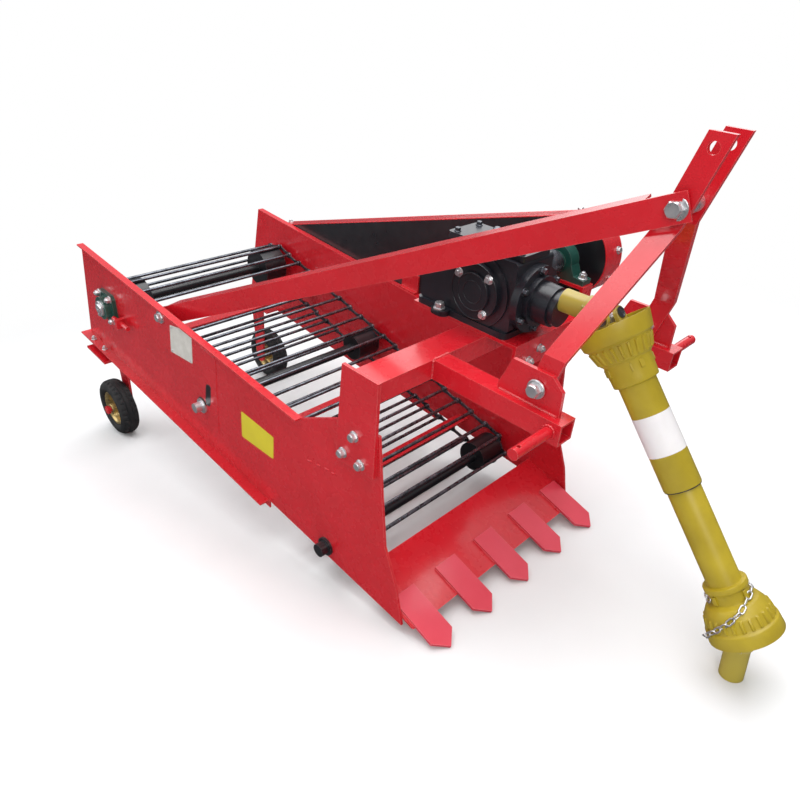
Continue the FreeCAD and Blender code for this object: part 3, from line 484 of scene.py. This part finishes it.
lamps = [
    # name, place, size, watts, colour
    ("overhead", (0.2, 0.1, 3.3), 3.4, 120, (1.0, 1.0, 1.0)),
    ("key", (2.7, -2.1, 2.3), 1.6, 44, (1.0, 0.985, 0.96)),
    ("fill", (-2.6, -2.4, 1.7), 2.4, 34, (0.96, 0.98, 1.0)),
    ("back", (-1.2, 3.0, 2.4), 2.6, 30, (1.0, 1.0, 1.0)),
]


def makeLights():
    world = bpy.data.worlds.new("studio")
    bpy.context.scene.world = world
    world.use_nodes = True
    tree = world.node_tree
    background = tree.nodes["Background"]
    background.inputs["Color"].default_value = (0.95, 0.97, 1.0, 1)
    geometry = add(tree, "ShaderNodeNewGeometry")
    axes = add(tree, "ShaderNodeSeparateXYZ")
    tree.links.new(geometry.outputs["Incoming"], axes.inputs[0])
    rise = add(tree, "ShaderNodeMapRange")
    rise.inputs["From Min"].default_value = -0.1
    rise.inputs["From Max"].default_value = -1.0
    rise.inputs["To Min"].default_value = stageLook["skyLow"]
    rise.inputs["To Max"].default_value = stageLook["skyHigh"]
    tree.links.new(axes.outputs["Z"], rise.inputs["Value"])
    tree.links.new(rise.outputs["Result"], background.inputs["Strength"])
    white = add(tree, "ShaderNodeBackground")
    white.inputs["Color"].default_value = (1, 1, 1, 1)
    white.inputs["Strength"].default_value = 1.0
    path = add(tree, "ShaderNodeLightPath")
    mix = add(tree, "ShaderNodeMixShader")
    tree.links.new(path.outputs["Is Camera Ray"], mix.inputs[0])
    tree.links.new(background.outputs[0], mix.inputs[1])
    tree.links.new(white.outputs[0], mix.inputs[2])
    tree.links.new(mix.outputs[0], tree.nodes["World Output"].inputs["Surface"])
    middle = Vector(((cadLow[0] + cadHigh[0]) / 2, (cadLow[1] + cadHigh[1]) / 2, 0.4))
    for name, at, size, watts, colour in lamps:
        data = bpy.data.lights.new(name, "AREA")
        data.size, data.energy, data.color = size, watts, colour
        lamp = bpy.data.objects.new(name, data)
        lamp.location = at
        lamp.rotation_euler = (middle - Vector(at)).to_track_quat("-Z", "Y").to_euler()
        bpy.context.collection.objects.link(lamp)


# Blocks round a circle: 1 where cos(count t) is over the sharp limit, 0 elsewhere, with short ramps
def ridgeWave(t, count, sharp):
    return np.clip((np.cos(count * t) - sharp) / 0.12, 0, 1)


# Rod conveyor. Rod i lies at s = i L / n on a closed path of length L: straight down to the front
# idler, round it by angle top - (s - run) / r, straight back and round the rear drum. In millimetres
belt = {"rearX": -1326.0, "rearZ": 292.0, "frontX": -262.0, "frontZ": 50.0, "rearR": 68.0,
        "frontR": 50.0, "rods": 44, "rodR": 5.0, "nearY": 16.0, "farY": 634.0, "linkT": 5.0,
        "eyeR": 8.6, "openDeg": 32.0, "knuckleR": 7.0, "knuckleOut": 5.0}


def beltPoints():
    dx, dz = belt["frontX"] - belt["rearX"], belt["frontZ"] - belt["rearZ"]
    span, base = math.hypot(dx, dz), math.atan2(dz, dx)
    lean = math.asin((belt["rearR"] - belt["frontR"]) / span)
    run, top, low = span * math.cos(lean), base + math.pi / 2 - lean, base - math.pi / 2 + lean
    frontArc, rearArc = (top - low) * belt["frontR"], (2 * math.pi - top + low) * belt["rearR"]
    s = np.arange(belt["rods"]) * (2 * run + frontArc + rearArc) / belt["rods"]
    ux, uz = math.cos(base - lean), math.sin(base - lean)
    lx, lz = math.cos(base + lean), math.sin(base + lean)
    turnFront = top - (s - run) / belt["frontR"]
    turnRear = low - (s - 2 * run - frontArc) / belt["rearR"]
    back = s - run - frontArc
    zones = [s < run, s < run + frontArc, s < 2 * run + frontArc]
    x = np.select(zones, [belt["rearX"] + belt["rearR"] * math.cos(top) + ux * s,
                          belt["frontX"] + belt["frontR"] * np.cos(turnFront),
                          belt["frontX"] + belt["frontR"] * math.cos(low) - lx * back],
                  belt["rearX"] + belt["rearR"] * np.cos(turnRear))
    z = np.select(zones, [belt["rearZ"] + belt["rearR"] * math.sin(top) + uz * s,
                          belt["frontZ"] + belt["frontR"] * np.sin(turnFront),
                          belt["frontZ"] + belt["frontR"] * math.sin(low) - lz * back],
                  belt["rearZ"] + belt["rearR"] * np.sin(turnRear))
    return np.stack([x, z], 1)


# Link: two eyes joined by a waist, the outline runs round both eyes' outer arcs
def linkOutline(p, q):
    along = (q - p) / np.linalg.norm(q - p)
    across = np.array([-along[1], along[0]])
    opening = math.radians(belt["openDeg"])
    t = np.linspace(opening, 2 * math.pi - opening, 13)[:, None]
    eye = belt["eyeR"] * (np.cos(t) * along + np.sin(t) * across)
    return np.concatenate([p + eye, q - eye])


def makeRodChain():
    points = beltPoints()
    rods, links, knuckles = [], [], []
    near, far = belt["nearY"], belt["farY"]
    length, thick = (far - near) / 1000, belt["linkT"]
    r, k, out = (belt[key] / 1000 for key in ("rodR", "knuckleR", "knuckleOut"))
    rod = [(0, 0), (0, r), (length, r), (length, 0)]
    dome = [(-out, 0), (-out, k * 0.55), (-out * 0.6, k * 0.92), (0, k), (0.001, k), (0.001, 0)]
    inward = np.array([0, 1.0, 0])
    for i, p in enumerate(points):
        q = points[(i + 1) % belt["rods"]]
        rods.append(turned(rod, place([p[0], near, p[1]]), inward, 14))
        outline = linkOutline(p, q)
        shift = (i % 2) * thick
        for y in (near + shift, far - shift - thick):
            loop = place(np.stack([outline[:, 0], np.full(len(outline), y + 0.1), outline[:, 1]], 1))
            links.append(plateGrid(loop, (0, (thick - 0.2) / 1000, 0), 0.0009))
        knuckles.append(turned(dome, place([p[0], near, p[1]]), inward, 16))
        knuckles.append(turned(dome, place([p[0], far, p[1]]), -inward, 16))
    chain = meshFrom("conveyorRods", rods, "dark_steel", "frame", 50)
    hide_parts("rod_chain")
    meshFrom("conveyorLinks", links, "dark_steel", "frame", 35)
    meshFrom("conveyorKnuckles", knuckles, "bare_steel", "frame", 50)
    print("rod conveyor:", belt["rods"], "rods")


# Drive shaft guards: turned shells whose tapers carry ridges, r = profile + height where the wave
# is up. Distances run down the shaft from the upper joint, in millimetres
shaft = {"end": 658.8, "hang": 49.0, "steps": 216, "ridges": 24, "ridge": 3.0, "ease": 1.8}
hang = math.radians(shaft["hang"])
lineDir = turn((math.cos(hang), 0, -math.sin(hang)))
upperProfile = [
    # distance from the joint, radius, share of the ridge height
    (12, 71.5, 0), (12, 75, 0), (46, 68.4, 0), (50, 62, 0), (53, 61, 0), (54.2, 60.6, 1),
    (80, 52.6, 1), (81.2, 52.2, 0), (84, 51, 0), (87, 47, 0), (120, 45, 0), (133, 44.4, 0),
    (136, 37, 0), (357, 37, 0), (357, 33, 0), (116, 33, 0), (116, 18.3, 0), (104, 18.3, 0),
    (104, 40.5, 0), (84, 47.5, 0), (52, 57.5, 0), (48, 63.5, 0),
]
lowerProfile = [
    # distance past the lower joint, radius, share of the ridge height
    (14, 68.5, 0), (14, 72, 0), (-13, 69.4, 0), (-16, 65, 0), (-18, 64.2, 0), (-19.2, 63.9, 1),
    (-39, 60.4, 1), (-40.5, 60, 0), (-46, 57.5, 0), (-58, 50, 0), (-62, 38, 0), (-84, 38, 0),
    (-86, 42, 0), (-98, 42, 0), (-98, 32.5, 0), (-413.8, 32.5, 0), (-413.8, 0, 0), (-92, 0, 0),
    (-92, 24.3, 0), (-50, 24.3, 0), (-50, 46.5, 0), (-40, 56.5, 0), (-16, 60.5, 0), (-14, 65.5, 0),
]


def guardGrid(table, offset):
    s, r, share = eased(table, shaft["ease"], 3).T
    d, u, w = sideAxes(lineDir)
    t = np.linspace(0, 2 * math.pi, shaft["steps"], endpoint=False)
    radius = r[:, None] + share[:, None] * shaft["ridge"] * ridgeWave(t, shaft["ridges"], 0.62)[None]
    ring = np.cos(t)[None, :, None] * u + np.sin(t)[None, :, None] * w
    points = jointAt + ((s + offset)[:, None, None] * d + radius[:, :, None] * ring) / 1000
    return points, True, True


# Point on the shaft: J + s d + r (u cos a + w sin a)
def onShaft(s, r, angle):
    d, u, w = sideAxes(lineDir)
    return jointAt + (s * d + r * (math.cos(angle) * u + math.sin(angle) * w)) / 1000


# Small moulded lug on a collar: a plate on the tangent plane at an angle round the shaft
def collarLug(s, r, angle, long, wide, high):
    d, u, w = sideAxes(lineDir)
    out = math.cos(angle) * u + math.sin(angle) * w
    side = np.cross(d, out)
    x, y = long / 2, wide / 2
    corners = eased([(-x, -y), (x, -y), (x, y), (-x, y)], 1.5)
    base = onShaft(s, r - 0.8, angle)
    outline = base + (corners[:, :1] * d + corners[:, 1:] * side) / 1000
    return plateGrid(outline, out * high / 1000, 0.0005)


# Paper band round the outer tube, and the safety chain: round the collar up to the share "level" of
# its turn, then s = startS + (endS - startS) u^droop down the bell, in millimetres and degrees
sleeve = {"from": 201.0, "to": 283.0, "r": 37.0, "thick": 0.35}
safetyChain = {"long": 21.5, "wide": 12.5, "wire": 1.8, "startS": -74.0, "endS": 6.0,
               "startDeg": 212.0, "endDeg": 602.0, "lift": 4.0, "level": 0.55, "droop": 1.7}


def makeGuards():
    upperShell = [guardGrid(upperProfile, 0.0)]
    upper = meshFrom("upperGuard", upperShell, "yellow_plastic", "driveline_outer", 35)
    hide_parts("outer_guard")
    lowerShell = [guardGrid(lowerProfile, shaft["end"])]
    lower = meshFrom("lowerGuard", lowerShell, "yellow_plastic", "driveline_inner", 35)
    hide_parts("inner_guard")
    quarter = math.pi / 2
    lugs = [collarLug(100, 46.2, k * quarter + 0.5, 16, 9, 2.6) for k in range(4)]
    lugs += [collarLug(100, 46.2, k * quarter + 0.95, 16, 3, 2.6) for k in range(4)]
    meshFrom("upperCollarLugs", lugs, "yellow_plastic", "driveline_outer", 35)
    knobs = [collarLug(shaft["end"] - 74, 38, k * quarter + 0.3, 18, 8, 4.5) for k in range(4)]
    meshFrom("lowerCollarLugs", knobs, "yellow_plastic", "driveline_inner", 35)
    start, end, inner, outer = sleeve["from"], sleeve["to"], sleeve["r"] - 0.2, sleeve["r"] + sleeve["thick"]
    profile = np.array([(start, inner), (start, outer), (end, outer), (end, inner)]) / 1000
    band = [turned(profile, jointAt, lineDir, 96, True)]
    meshFrom("guardSleeve", band, "yellow_plastic", "driveline_outer", 40, paper)
    # Black ring where the inner tube leaves the outer one: painted shade standing in for the shadow in the gap
    # between them
    shadeGap = np.array([(357.1, 32.9), (357.1, 36.6), (358.6, 36.2), (358.6, 32.9)]) / 1000
    ring = [turned(shadeGap, jointAt, lineDir, 96, True)]
    meshFrom("guardGapShadeRing", ring, "black_paint", "driveline_outer", 40)
    print("guards ready")


# Welded link: a round wire on a stadium path, (a, b) = straight sides joined by half circles
def linkLoop(centre, along, across, long, wide, wire):
    half, bend = (long - wide) / 2, (wide - 2 * wire) / 2
    t = np.linspace(-math.pi / 2, math.pi / 2, 7)
    a = np.concatenate([half + bend * np.cos(t), -half - bend * np.cos(t)])
    b = np.concatenate([bend * np.sin(t), -bend * np.sin(t)])
    path = centre + (a[:, None] * along + b[:, None] * across) / 1000
    return tube(path, wire / 1000, 8, True)


# Radius of the lower guard's outside at a distance past the lower joint
def lowerGuardR(s):
    outside = np.array([row[:2] for row in lowerProfile[1:16]])[::-1]
    return np.interp(s, outside[:, 0], outside[:, 1])


def makeSafetyChain():
    c = safetyChain
    d, u, w = sideAxes(lineDir)
    t = np.linspace(0, 1, 400)
    angle = np.radians(c["startDeg"] + (c["endDeg"] - c["startDeg"]) * t)
    drop = np.clip((t - c["level"]) / (1 - c["level"]), 0, 1) ** c["droop"]
    s = c["startS"] + (c["endS"] - c["startS"]) * drop
    r = np.maximum(lowerGuardR(s), 38) + c["lift"]
    r = np.maximum(r, np.convolve(np.pad(r, 15, mode="edge"), np.ones(31) / 31, "valid"))
    ring = np.cos(angle)[:, None] * u + np.sin(angle)[:, None] * w
    path = jointAt + ((s + shaft["end"])[:, None] * d + r[:, None] * ring) / 1000
    run = np.concatenate([[0], np.cumsum(np.linalg.norm(np.diff(path, axis=0), axis=1))])
    pitch = (c["long"] - 2 * c["wire"] - 0.6) / 1000
    count = int(run[-1] / pitch)
    at = np.arange(count + 1) * pitch
    spots = np.stack([np.interp(at, run, path[:, k]) for k in range(3)], 1)
    angles = np.interp(at, run, angle)
    parts = []
    for i in range(count):
        along = spots[i + 1] - spots[i]
        along /= np.linalg.norm(along)
        out = math.cos(angles[i]) * u + math.sin(angles[i]) * w
        flat = np.cross(along, out)
        flat /= np.linalg.norm(flat)
        up = np.cross(flat, along)
        across = flat * 0.8 + up * (0.6 if i % 2 else -0.6)
        centre = (spots[i] + spots[i + 1]) / 2
        parts.append(linkLoop(centre, along, across, c["long"], c["wide"], c["wire"]))
    meshFrom("safetyChain", parts, "bare_steel", "driveline_inner", 60)
    print("safety chain:", count, "links")


# Bearing caps and retaining rings on the ears of the two cross joints
crossCaps = {"out": 27.6, "r": 9.4, "ringR": 11.4}


def makeCrossCaps():
    upDir = turn((math.sin(hang), 0, math.cos(hang)))
    endAt = jointAt + lineDir * shaft["end"] / 1000
    across = np.array([0, 1.0, 0])
    ears = [
        # piece name, joint's centre, direction of the two ears, body
        ("inputYokeCaps", jointAt, across, "frame"),
        ("upperYokeCaps", jointAt, upDir, "driveline_outer"),
        ("lowerYokeCaps", endAt, upDir, "driveline_inner"),
        ("tractorYokeCaps", endAt, across, "tractor_yoke"),
    ]
    out, r, ringR = (crossCaps[k] / 1000 for k in ("out", "r", "ringR"))
    cap = [(0, 0), (0, r * 0.3), (0.0006, r * 0.36), (0.0006, r * 0.82), (0, r * 0.9), (0, r),
           (0.001, ringR), (0.0022, ringR), (0.0022, r * 0.95), (0.0012, r * 0.9), (0.0012, 0)]
    for name, centre, direction, body in ears:
        parts = [turned(cap, centre + direction * out * side, direction * side, 28) for side in (1, -1)]
        meshFrom(name, parts, "yellow_paint", body, 35, finishes["dark_steel"])


# Wheels: tyre and rim turned about the axle, the tread cut as r = profile - depth where the wave is up
wheel = {"tyreR": 102.0, "half": 32.0, "steps": 240, "blocks": 30, "groove": 3.0, "nutRing": 34.0}


def wheelAt(side):
    low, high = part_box("wheel_tyre_" + side)
    return (np.array(low) + np.array(high)) / 2


def makeTyre(side):
    centre, half, big = wheelAt(side), wheel["half"], wheel["tyreR"]
    section = eased([(-half + 9, 63), (-half + 1, 70), (-half, 80), (-half + 4, 93), (-17, 100.6),
                     (-6, big), (6, big), (17, 100.6), (half - 4, 93), (half, 80), (half - 1, 70),
                     (half - 9, 63)], 9, 5)
    s, r = section.T
    off = np.abs(s)[:, None]
    t = np.linspace(0, 2 * math.pi, wheel["steps"], endpoint=False)
    crown = np.clip((r[:, None] - 94) / 3, 0, 1)
    lane = np.clip(1 - np.abs(off - 8) / 1.8, 0, 1)
    shoulder = ridgeWave(t, wheel["blocks"], 0.55)[None] * np.clip((off - 13) / 2, 0, 1)
    cut = wheel["groove"] * crown * np.maximum(lane, shoulder)
    bead = 0.8 * np.clip(1 - np.abs(r[:, None] - 76) / 1.4, 0, 1)
    radius = (r[:, None] - cut + 0 * t[None]) / 1000
    d, u, w = sideAxes((0, 1.0, 0))
    ring = np.cos(t)[None, :, None] * u + np.sin(t)[None, :, None] * w
    bulge = ((s[:, None] + np.sign(s)[:, None] * bead) / 1000 + 0 * t[None])[:, :, None] * d
    shell = [(centre + bulge + radius[:, :, None] * ring, True, True)]
    tyre = meshFrom("tyre_" + side, shell, "tyre", "wheel_" + side, 40)
    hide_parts("wheel_tyre_" + side)


def makeRim(side):
    centre = wheelAt(side)
    profile = eased([(-24, 57), (-24, 61.8), (-20, 61.8), (-12, 55), (12, 55), (20, 61.8), (24, 61.8),
                     (24, 57), (17, 50), (6, 48), (7, 24), (9, 19.5), (32, 19.5), (32, 10.2),
                     (-32, 10.2), (-32, 19.5), (-3, 19.5), (1, 24), (0, 46), (-17, 50)], 3, 4) / 1000
    disc = [turned(profile, centre, (0, 1.0, 0), 72, True)]
    rim = meshFrom("rim_" + side, disc, "gold_rim", "wheel_" + side, 35)
    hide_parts("wheel_rim_" + side)
    nuts = []
    for face, y in ((-1, -0.4), (1, 7.2)):
        for a in np.arange(4) * math.pi / 2 + 0.5:
            x, z = wheel["nutRing"] * math.cos(a), wheel["nutRing"] * math.sin(a)
            at = centre + np.array([x, y, z]) / 1000
            nuts.append(washer(at, (0, face, 0), 0.0085, 0.0012))
            nuts.append(hexHead(at + np.array([0, face * 0.0012, 0]), (0, face, 0), 0.0125, 0.006))
    meshFrom("rimNuts_" + side, nuts, "bare_steel", "wheel_" + side, 30)


def makeWheels():
    for side in ("right", "left"):
        makeTyre(side)
        makeRim(side)
    print("wheels ready")


# Fasteners: (x, z) on the brackets and bearings, and the sets made from them
bracketSpots = [(-163, 434), (-197, 375), (-142, 374)]
bearingSpots = [(-1362, 328), (-1290, 328), (-1362, 256), (-1290, 256)]


def onPlane(spots, y):
    return [(x, y, z) for x, z in spots]


# Height of the side plates' lower edge, a straight line up to the rear
def plateBottom(x):
    return 116.0 * (x / -1545.0)


boltTable = [
    # piece name, places (x, y, z), direction, across flats, washer radius, thread past the nut
    ("bracketBoltsRight", onPlane(bracketSpots, -14), (0, -1, 0), 17, 12.5, 0),
    ("bracketNutsRight", onPlane(bracketSpots, 0), (0, 1, 0), 17, 12.5, 5),
    ("bracketBoltsLeft", onPlane(bracketSpots, 664), (0, 1, 0), 17, 12.5, 0),
    ("bracketNutsLeft", onPlane(bracketSpots, 650), (0, -1, 0), 17, 12.5, 5),
    ("rearBearingBoltsRight", onPlane(bearingSpots, -18), (0, -1, 0), 17, 12, 4),
    ("rearBearingBoltsLeft", onPlane(bearingSpots, 668), (0, 1, 0), 15, 8, 0),
    ("platformBolts", [(-29, 397, 556), (-29, 360, 538)], (1, 0, 0), 15, 10, 4),
    ("pillowBolts", [(-222, 625, 642), (-84, 625, 642)], (0, 0, 1), 16, 12, 5),
]
for sideName, boltY in (("Right", -20), ("Left", 670)):
    spots = [(x, boltY, plateBottom(x) + 0.1) for x in (-1412, -1490)]
    boltTable.append(("wheelBracketBolts" + sideName, spots, (0, 0, 1), 13, 9, 4))
pinTable = [
    # piece name, node, size across the flats
    ("mastBoltHead", "mast_bolt", 0.026), ("braceBoltHead", "brace_bolt", 0.022),
    ("footBoltHeadRight", "foot_bolt_right", 0.024), ("footBoltHeadLeft", "foot_bolt_left", 0.024),
]


# Drive shaft's end and locking collar on the right bearing
shaftEnd = {"x": -1326.0, "y": -36.2, "z": 292.0, "r": 15.0, "collarR": 24.0, "out": 10.5}


def makeFasteners():
    for name, places, direction, across, wide, shank in boltTable:
        spots = [place(p) for p in places]
        boltSet(name, spots, turn(direction), across / 1000, wide / 1000, shank / 1000)
    for name, node, size in pinTable:
        a, b = (np.array(v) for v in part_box(node))
        middle = (a + b) / 2
        parts = []
        for side, y in ((-1, a[1]), (1, b[1])):
            out = np.array([0.0, side, 0.0])
            at = np.array([middle[0], y - side * size * 0.55, middle[2]])
            parts.append(washer(at - out * size * 0.12, out, size * 0.78, size * 0.14))
            parts.append(hexHead(at, out, size, size * 0.56))
        meshFrom(name, parts, "bare_steel", "frame", 30)
    e, at = shaftEnd, place([shaftEnd["x"], shaftEnd["y"], shaftEnd["z"]])
    r, big, out = e["r"], e["collarR"], e["out"]
    collar = [(0, r), (0, big), (5.5, big), (6.5, big - 1), (6.5, r)]
    tip = [(0, 0), (0, r + 0.3), (out - 1, r + 0.3), (out, r - 1), (out, 3.5), (out - 3, 3), (out - 3, 0)]
    parts = [turned(np.array(collar) / 1000, at, (0, -1.0, 0), 36, True),
             turned(np.array(tip) / 1000, at, (0, -1.0, 0), 36)]
    meshFrom("rearShaftEnd", parts, "bare_steel", "frame", 35)
    print("fasteners ready")


# Plates, labels and the seam on the near side plate, all bare of words, and a near-black sheet of painted shade in
# the adjuster slot
nearPlate = {"face": -6.0, "pale": [(-945, 292), (-827, 304), (-812, 404), (-930, 380)],
             "yellow": [(-606, 186), (-468, 192), (-462, 262), (-600, 268)],
             # corners of the painted shade sheet in the adjuster slot
             "slot": [(-783, 196), (-757, 200), (-742, 274), (-767, 270)],
             "seam": [(-774, 379), (-702, 374), (-727, 128)],
             "stitches": [((-330, 272), (-314, 276)), ((-296, 279), (-284, 282)),
                          ((-268, 286), (-252, 289)), ((-244, 288), (-232, 290))]}


def makePlateMarks():
    face = nearPlate["face"]
    plate = [sidePlate(nearPlate["pale"], face - 1.2, 1.2, 4, 0.3)]
    meshFrom("blankPlate", plate, "bare_steel", "frame", 35, palePlate)
    corners = np.array(nearPlate["pale"], float)
    spots = corners.mean(0) + (corners - corners.mean(0)) * 0.86
    dome = [(0, 0), (0, 0.0032), (0.0012, 0.0024), (0.0017, 0)]
    rivets = [turned(dome, place([x, face - 1.2, z]), (0, -1, 0), 14) for x, z in spots]
    meshFrom("blankPlateRivets", rivets, "bare_steel", "frame", 40)
    label = [sidePlate(nearPlate["yellow"], face - 0.4, 0.4, 5, 0.1)]
    meshFrom("yellowSticker", label, "yellow_plastic", "frame", 35, sticker)
    # Near-black sheet on the plate's face in the adjuster slot: painted shade standing in for the shadow inside
    # the slot
    slot = [sidePlate(nearPlate["slot"], face - 0.5, 0.5, 11, 0.1)]
    meshFrom("adjusterSlotShade", slot, "black_paint", "frame", 35)
    ring = np.array([(0, 0), (0, 21), (1.6, 21), (2.4, 19.5), (2.4, 0)]) / 1000
    seal = [turned(ring, place([-800, face, 189]), (0, -1, 0), 32)]
    meshFrom("adjusterSeal", seal, "tyre", "frame", 35)
    seam = np.array(nearPlate["seam"], float)
    beads = [plateBead(seam[0], seam[1], face, 1.6), plateBead(seam[1], seam[2], face, 1.6)]
    beads += [plateBead(a, b, face, 2.4) for a, b in nearPlate["stitches"]]
    meshFrom("sidePlateWelds", beads, "red_paint", "frame", 60)
    print("side plate marks ready")


def plateBead(a, b, y, radius):
    return beadBetween((a[0], y, a[1]), (b[0], y, b[1]), radius)


# Round weld bead that thins out at its ends and ripples, r = R (1 + 0.15 cos(2 pi s / 3 mm))
def beadBetween(a, b, radius):
    a, b = place(a), place(b)
    length = np.linalg.norm(b - a)
    s = np.linspace(0, 1, max(6, int(length / 0.001)))
    grow = np.minimum(1, np.minimum(s, 1 - s) * length / 0.003 + 0.3)
    r = radius / 1000 * (1 + 0.15 * np.cos(2 * math.pi * s * length / 0.003)) * grow
    return tube(a + s[:, None] * (b - a), r, 8)


weldTable = [
    # start and end in the digger's own millimetres, bead radius; first the feet on the hitch tubes,
    # then the brackets on the beam
    ((40, 162, 578), (172, 162, 578), 3.4), ((40, 170, 578), (172, 170, 578), 3.4),
    ((40, 586, 578), (172, 586, 578), 3.4), ((40, 594, 578), (172, 594, 578), 3.4),
    ((-180, -6, 578), (-110, -6, 578), 3.0), ((-110, -6, 536), (-110, -6, 578), 3.0),
    ((-180, 656, 578), (-110, 656, 578), 3.0), ((-110, 656, 536), (-110, 656, 578), 3.0),
]
for y0, y1 in ((144, 188), (568, 612)):  # hitch tubes on the beam
    weldTable += [((-110, y0, 578), (-110, y1, 578), 3.2), ((-110, y0, 534), (-110, y0, 578), 3.2),
                  ((-110, y1, 534), (-110, y1, 578), 3.2)]
tines = {"count": 5, "edge": 39.0, "width": 68.0, "back": 80.0, "front": (32.0, 0.0, 12.0), "angle": 16.5,
         "channel": 650.0}
pinWelds = {"x": 170.0, "z": 556.0, "r": 12.0, "bead": 0.003, "faces": (143.2, 612.8)}


def makeWelds():
    parts = [beadBetween(a, b, r) for a, b, r in weldTable]
    angle, wide = math.radians(tines["angle"]), tines["channel"]
    down = np.array([math.cos(angle), 0, -math.sin(angle)])
    front = np.array(tines["front"])
    pitch = (wide - 2 * tines["edge"]) / (tines["count"] - 1)
    for i in range(tines["count"]):
        y, half = tines["edge"] + i * pitch, tines["width"] / 2
        back = front - down * tines["back"]
        for side in (-half, half):
            if 0 < y + side < wide:
                parts.append(beadBetween(back + (0, y + side, 0), front + (0, y + side, 0), 2.6))
        parts.append(beadBetween(back + (0, y - half, 0), back + (0, y + half, 0), 2.6))
    t = np.linspace(0, 2 * math.pi, 60, endpoint=False)
    x, z = pinWelds["x"] + pinWelds["r"] * np.cos(t), pinWelds["z"] + pinWelds["r"] * np.sin(t)
    for y in pinWelds["faces"]:
        ring = place(np.stack([x, np.full(len(t), y), z], 1))
        parts.append(tube(ring, pinWelds["bead"] * (1 + 0.15 * np.cos(15 * t)), 8, True))
    meshFrom("weldBeads", parts, "red_paint", "frame", 60)
    print("weld beads:", len(parts))


# Gearbox: raised rings and screws on the side cap, screws on lid and flange, breather, foot screw on
# its lug. Screws stand at (R cos a, R sin a) on their ring
gearbox = {"x": -153.0, "z": 668.0, "y": 378.0, "capFace": 302.0, "hubFace": 297.0,
           "capScrews": (146.0, 47.0, -53.0), "screwRing": 52.0, "flangeX": -44.0, "flangeRing": 63.0,
           "lidTop": 764.0, "couplingY": 534.5}


def makeGearbox():
    g = gearbox
    across = np.array([0, 1.0, 0])
    t = np.linspace(0, 2 * math.pi, 72, endpoint=False)
    rings = []
    for r, thick, y in ((60.0, 2.0, g["capFace"]), (40.0, 1.6, g["hubFace"]), (24.0, 1.2, g["hubFace"])):
        ring = place(np.stack([g["x"] + r * np.cos(t), np.full(len(t), y), g["z"] + r * np.sin(t)], 1))
        rings.append(tube(ring, thick / 1000, 10, True))
    meshFrom("capRings", rings, "black_casting", "frame", 60)
    a, r = np.radians(g["capScrews"]), g["screwRing"]
    cap = place(np.stack([g["x"] + r * np.cos(a), np.full(len(a), g["capFace"]), g["z"] + r * np.sin(a)], 1))
    boltSet("capScrews", cap, -across, 0.012, 0.0105)
    a, r = np.radians(60.0 * np.arange(6) + 30), g["flangeRing"]
    flange = place(np.stack([np.full(6, g["flangeX"]), g["y"] + r * np.cos(a), g["z"] + r * np.sin(a)], 1))
    boltSet("flangeScrews", flange, turn((1, 0, 0)), 0.012, 0.009, slot="dark_steel")
    up = turn((0, 0, 1))
    lid = [place([x, y, g["lidTop"]]) for x in (-246, -76) for y in (342, 414)]
    boltSet("lidScrews", lid, up, 0.011, 0.008, slot="dark_steel")
    plug = place([-170, 378, g["lidTop"]])
    profile = np.array([(0, 0), (0, 9), (3, 9), (3, 6), (11, 6), (12, 9), (20, 9), (23, 5), (23, 0)]) / 1000
    breather = [turned(profile, plug, up, 24), hexHead(plug, up, 0.019, 0.004)]
    meshFrom("breatherPlug", breather, "dark_steel", "frame", 35)
    lug = eased([(-262, 309), (-262, 296), (-252, 286), (-226, 286), (-216, 296), (-216, 309)], 6)
    outline = place(np.stack([lug[:, 0], lug[:, 1], np.full(len(lug), 586.5)], 1))
    meshFrom("footLug", [plateGrid(outline, up * 0.0135, 0.001)], "black_casting", "frame", 40)
    boltSet("footScrew", [place([-239, 298, 600])], up, 0.019, 0.0135)
    profile = np.array([(0, 17), (0, 31), (2.5, 31), (4, 29), (4, 17)]) / 1000
    seat = [turned(profile, place([g["x"], g["couplingY"], g["z"]]), -across, 40, True)]
    meshFrom("couplingRing", seat, "bare_steel", "frame", 40)
    print("gearbox details ready")


# Case: rim beads on both edges and screws through the rim, square to it
case = {"near": 672.0, "far": 742.0, "screwY": 724.0, "rear": (-1326.0, 292.0), "rearR": 132.0,
        "frontR": 97.0}


# Outline of two circles and their outer tangents, whose ends lean by asin((R - r) / span)
def caseLoop(grow, count=40):
    (x0, z0), (x1, z1) = case["rear"], (gearbox["x"], gearbox["z"])
    r0, r1 = case["rearR"] + grow, case["frontR"] + grow
    span, base = math.hypot(x1 - x0, z1 - z0), math.atan2(z1 - z0, x1 - x0)
    lean = math.asin((r0 - r1) / span)
    high, low = base + math.pi / 2 - lean, base - math.pi / 2 + lean
    front = np.linspace(high, low, count)
    rear = np.linspace(low, high - 2 * math.pi, count)
    return np.concatenate([np.stack([x1 + r1 * np.cos(front), z1 + r1 * np.sin(front)], 1),
                           np.stack([x0 + r0 * np.cos(rear), z0 + r0 * np.sin(rear)], 1)])


def makeCaseDetails():
    loop, beads = caseLoop(-1.5), []
    for y in (case["near"] + 0.6, case["far"] - 2.4):
        path = place(np.stack([loop[:, 0], np.full(len(loop), y), loop[:, 1]], 1))
        beads.append(tube(path, 0.0022, 8, True))
    meshFrom("caseRimBeads", beads, "red_paint", "frame", 60)
    screws = []
    for (x, z), (x1, z1) in zip(caseLoop(0, 5), caseLoop(1, 5)):
        at, out = place([x, case["screwY"], z]), turn((x1 - x, 0, z1 - z))
        screws += [washer(at, out, 0.0095, 0.0018), hexHead(at + out * 0.0018, out, 0.013, 0.006)]
    meshFrom("caseScrews", screws, "bare_steel", "frame", 30)
    print("case details ready")


makeCamera()
makeStage()
makeLights()
dressFrame()
print("stage and finishes ready")

makeRodChain()
makeGuards()
makeSafetyChain()
makeCrossCaps()
makeWheels()
makeFasteners()
makePlateMarks()
makeWelds()
makeGearbox()
makeCaseDetails()

bpy.context.scene.view_settings.view_transform = "Standard"
print("pieces ready")
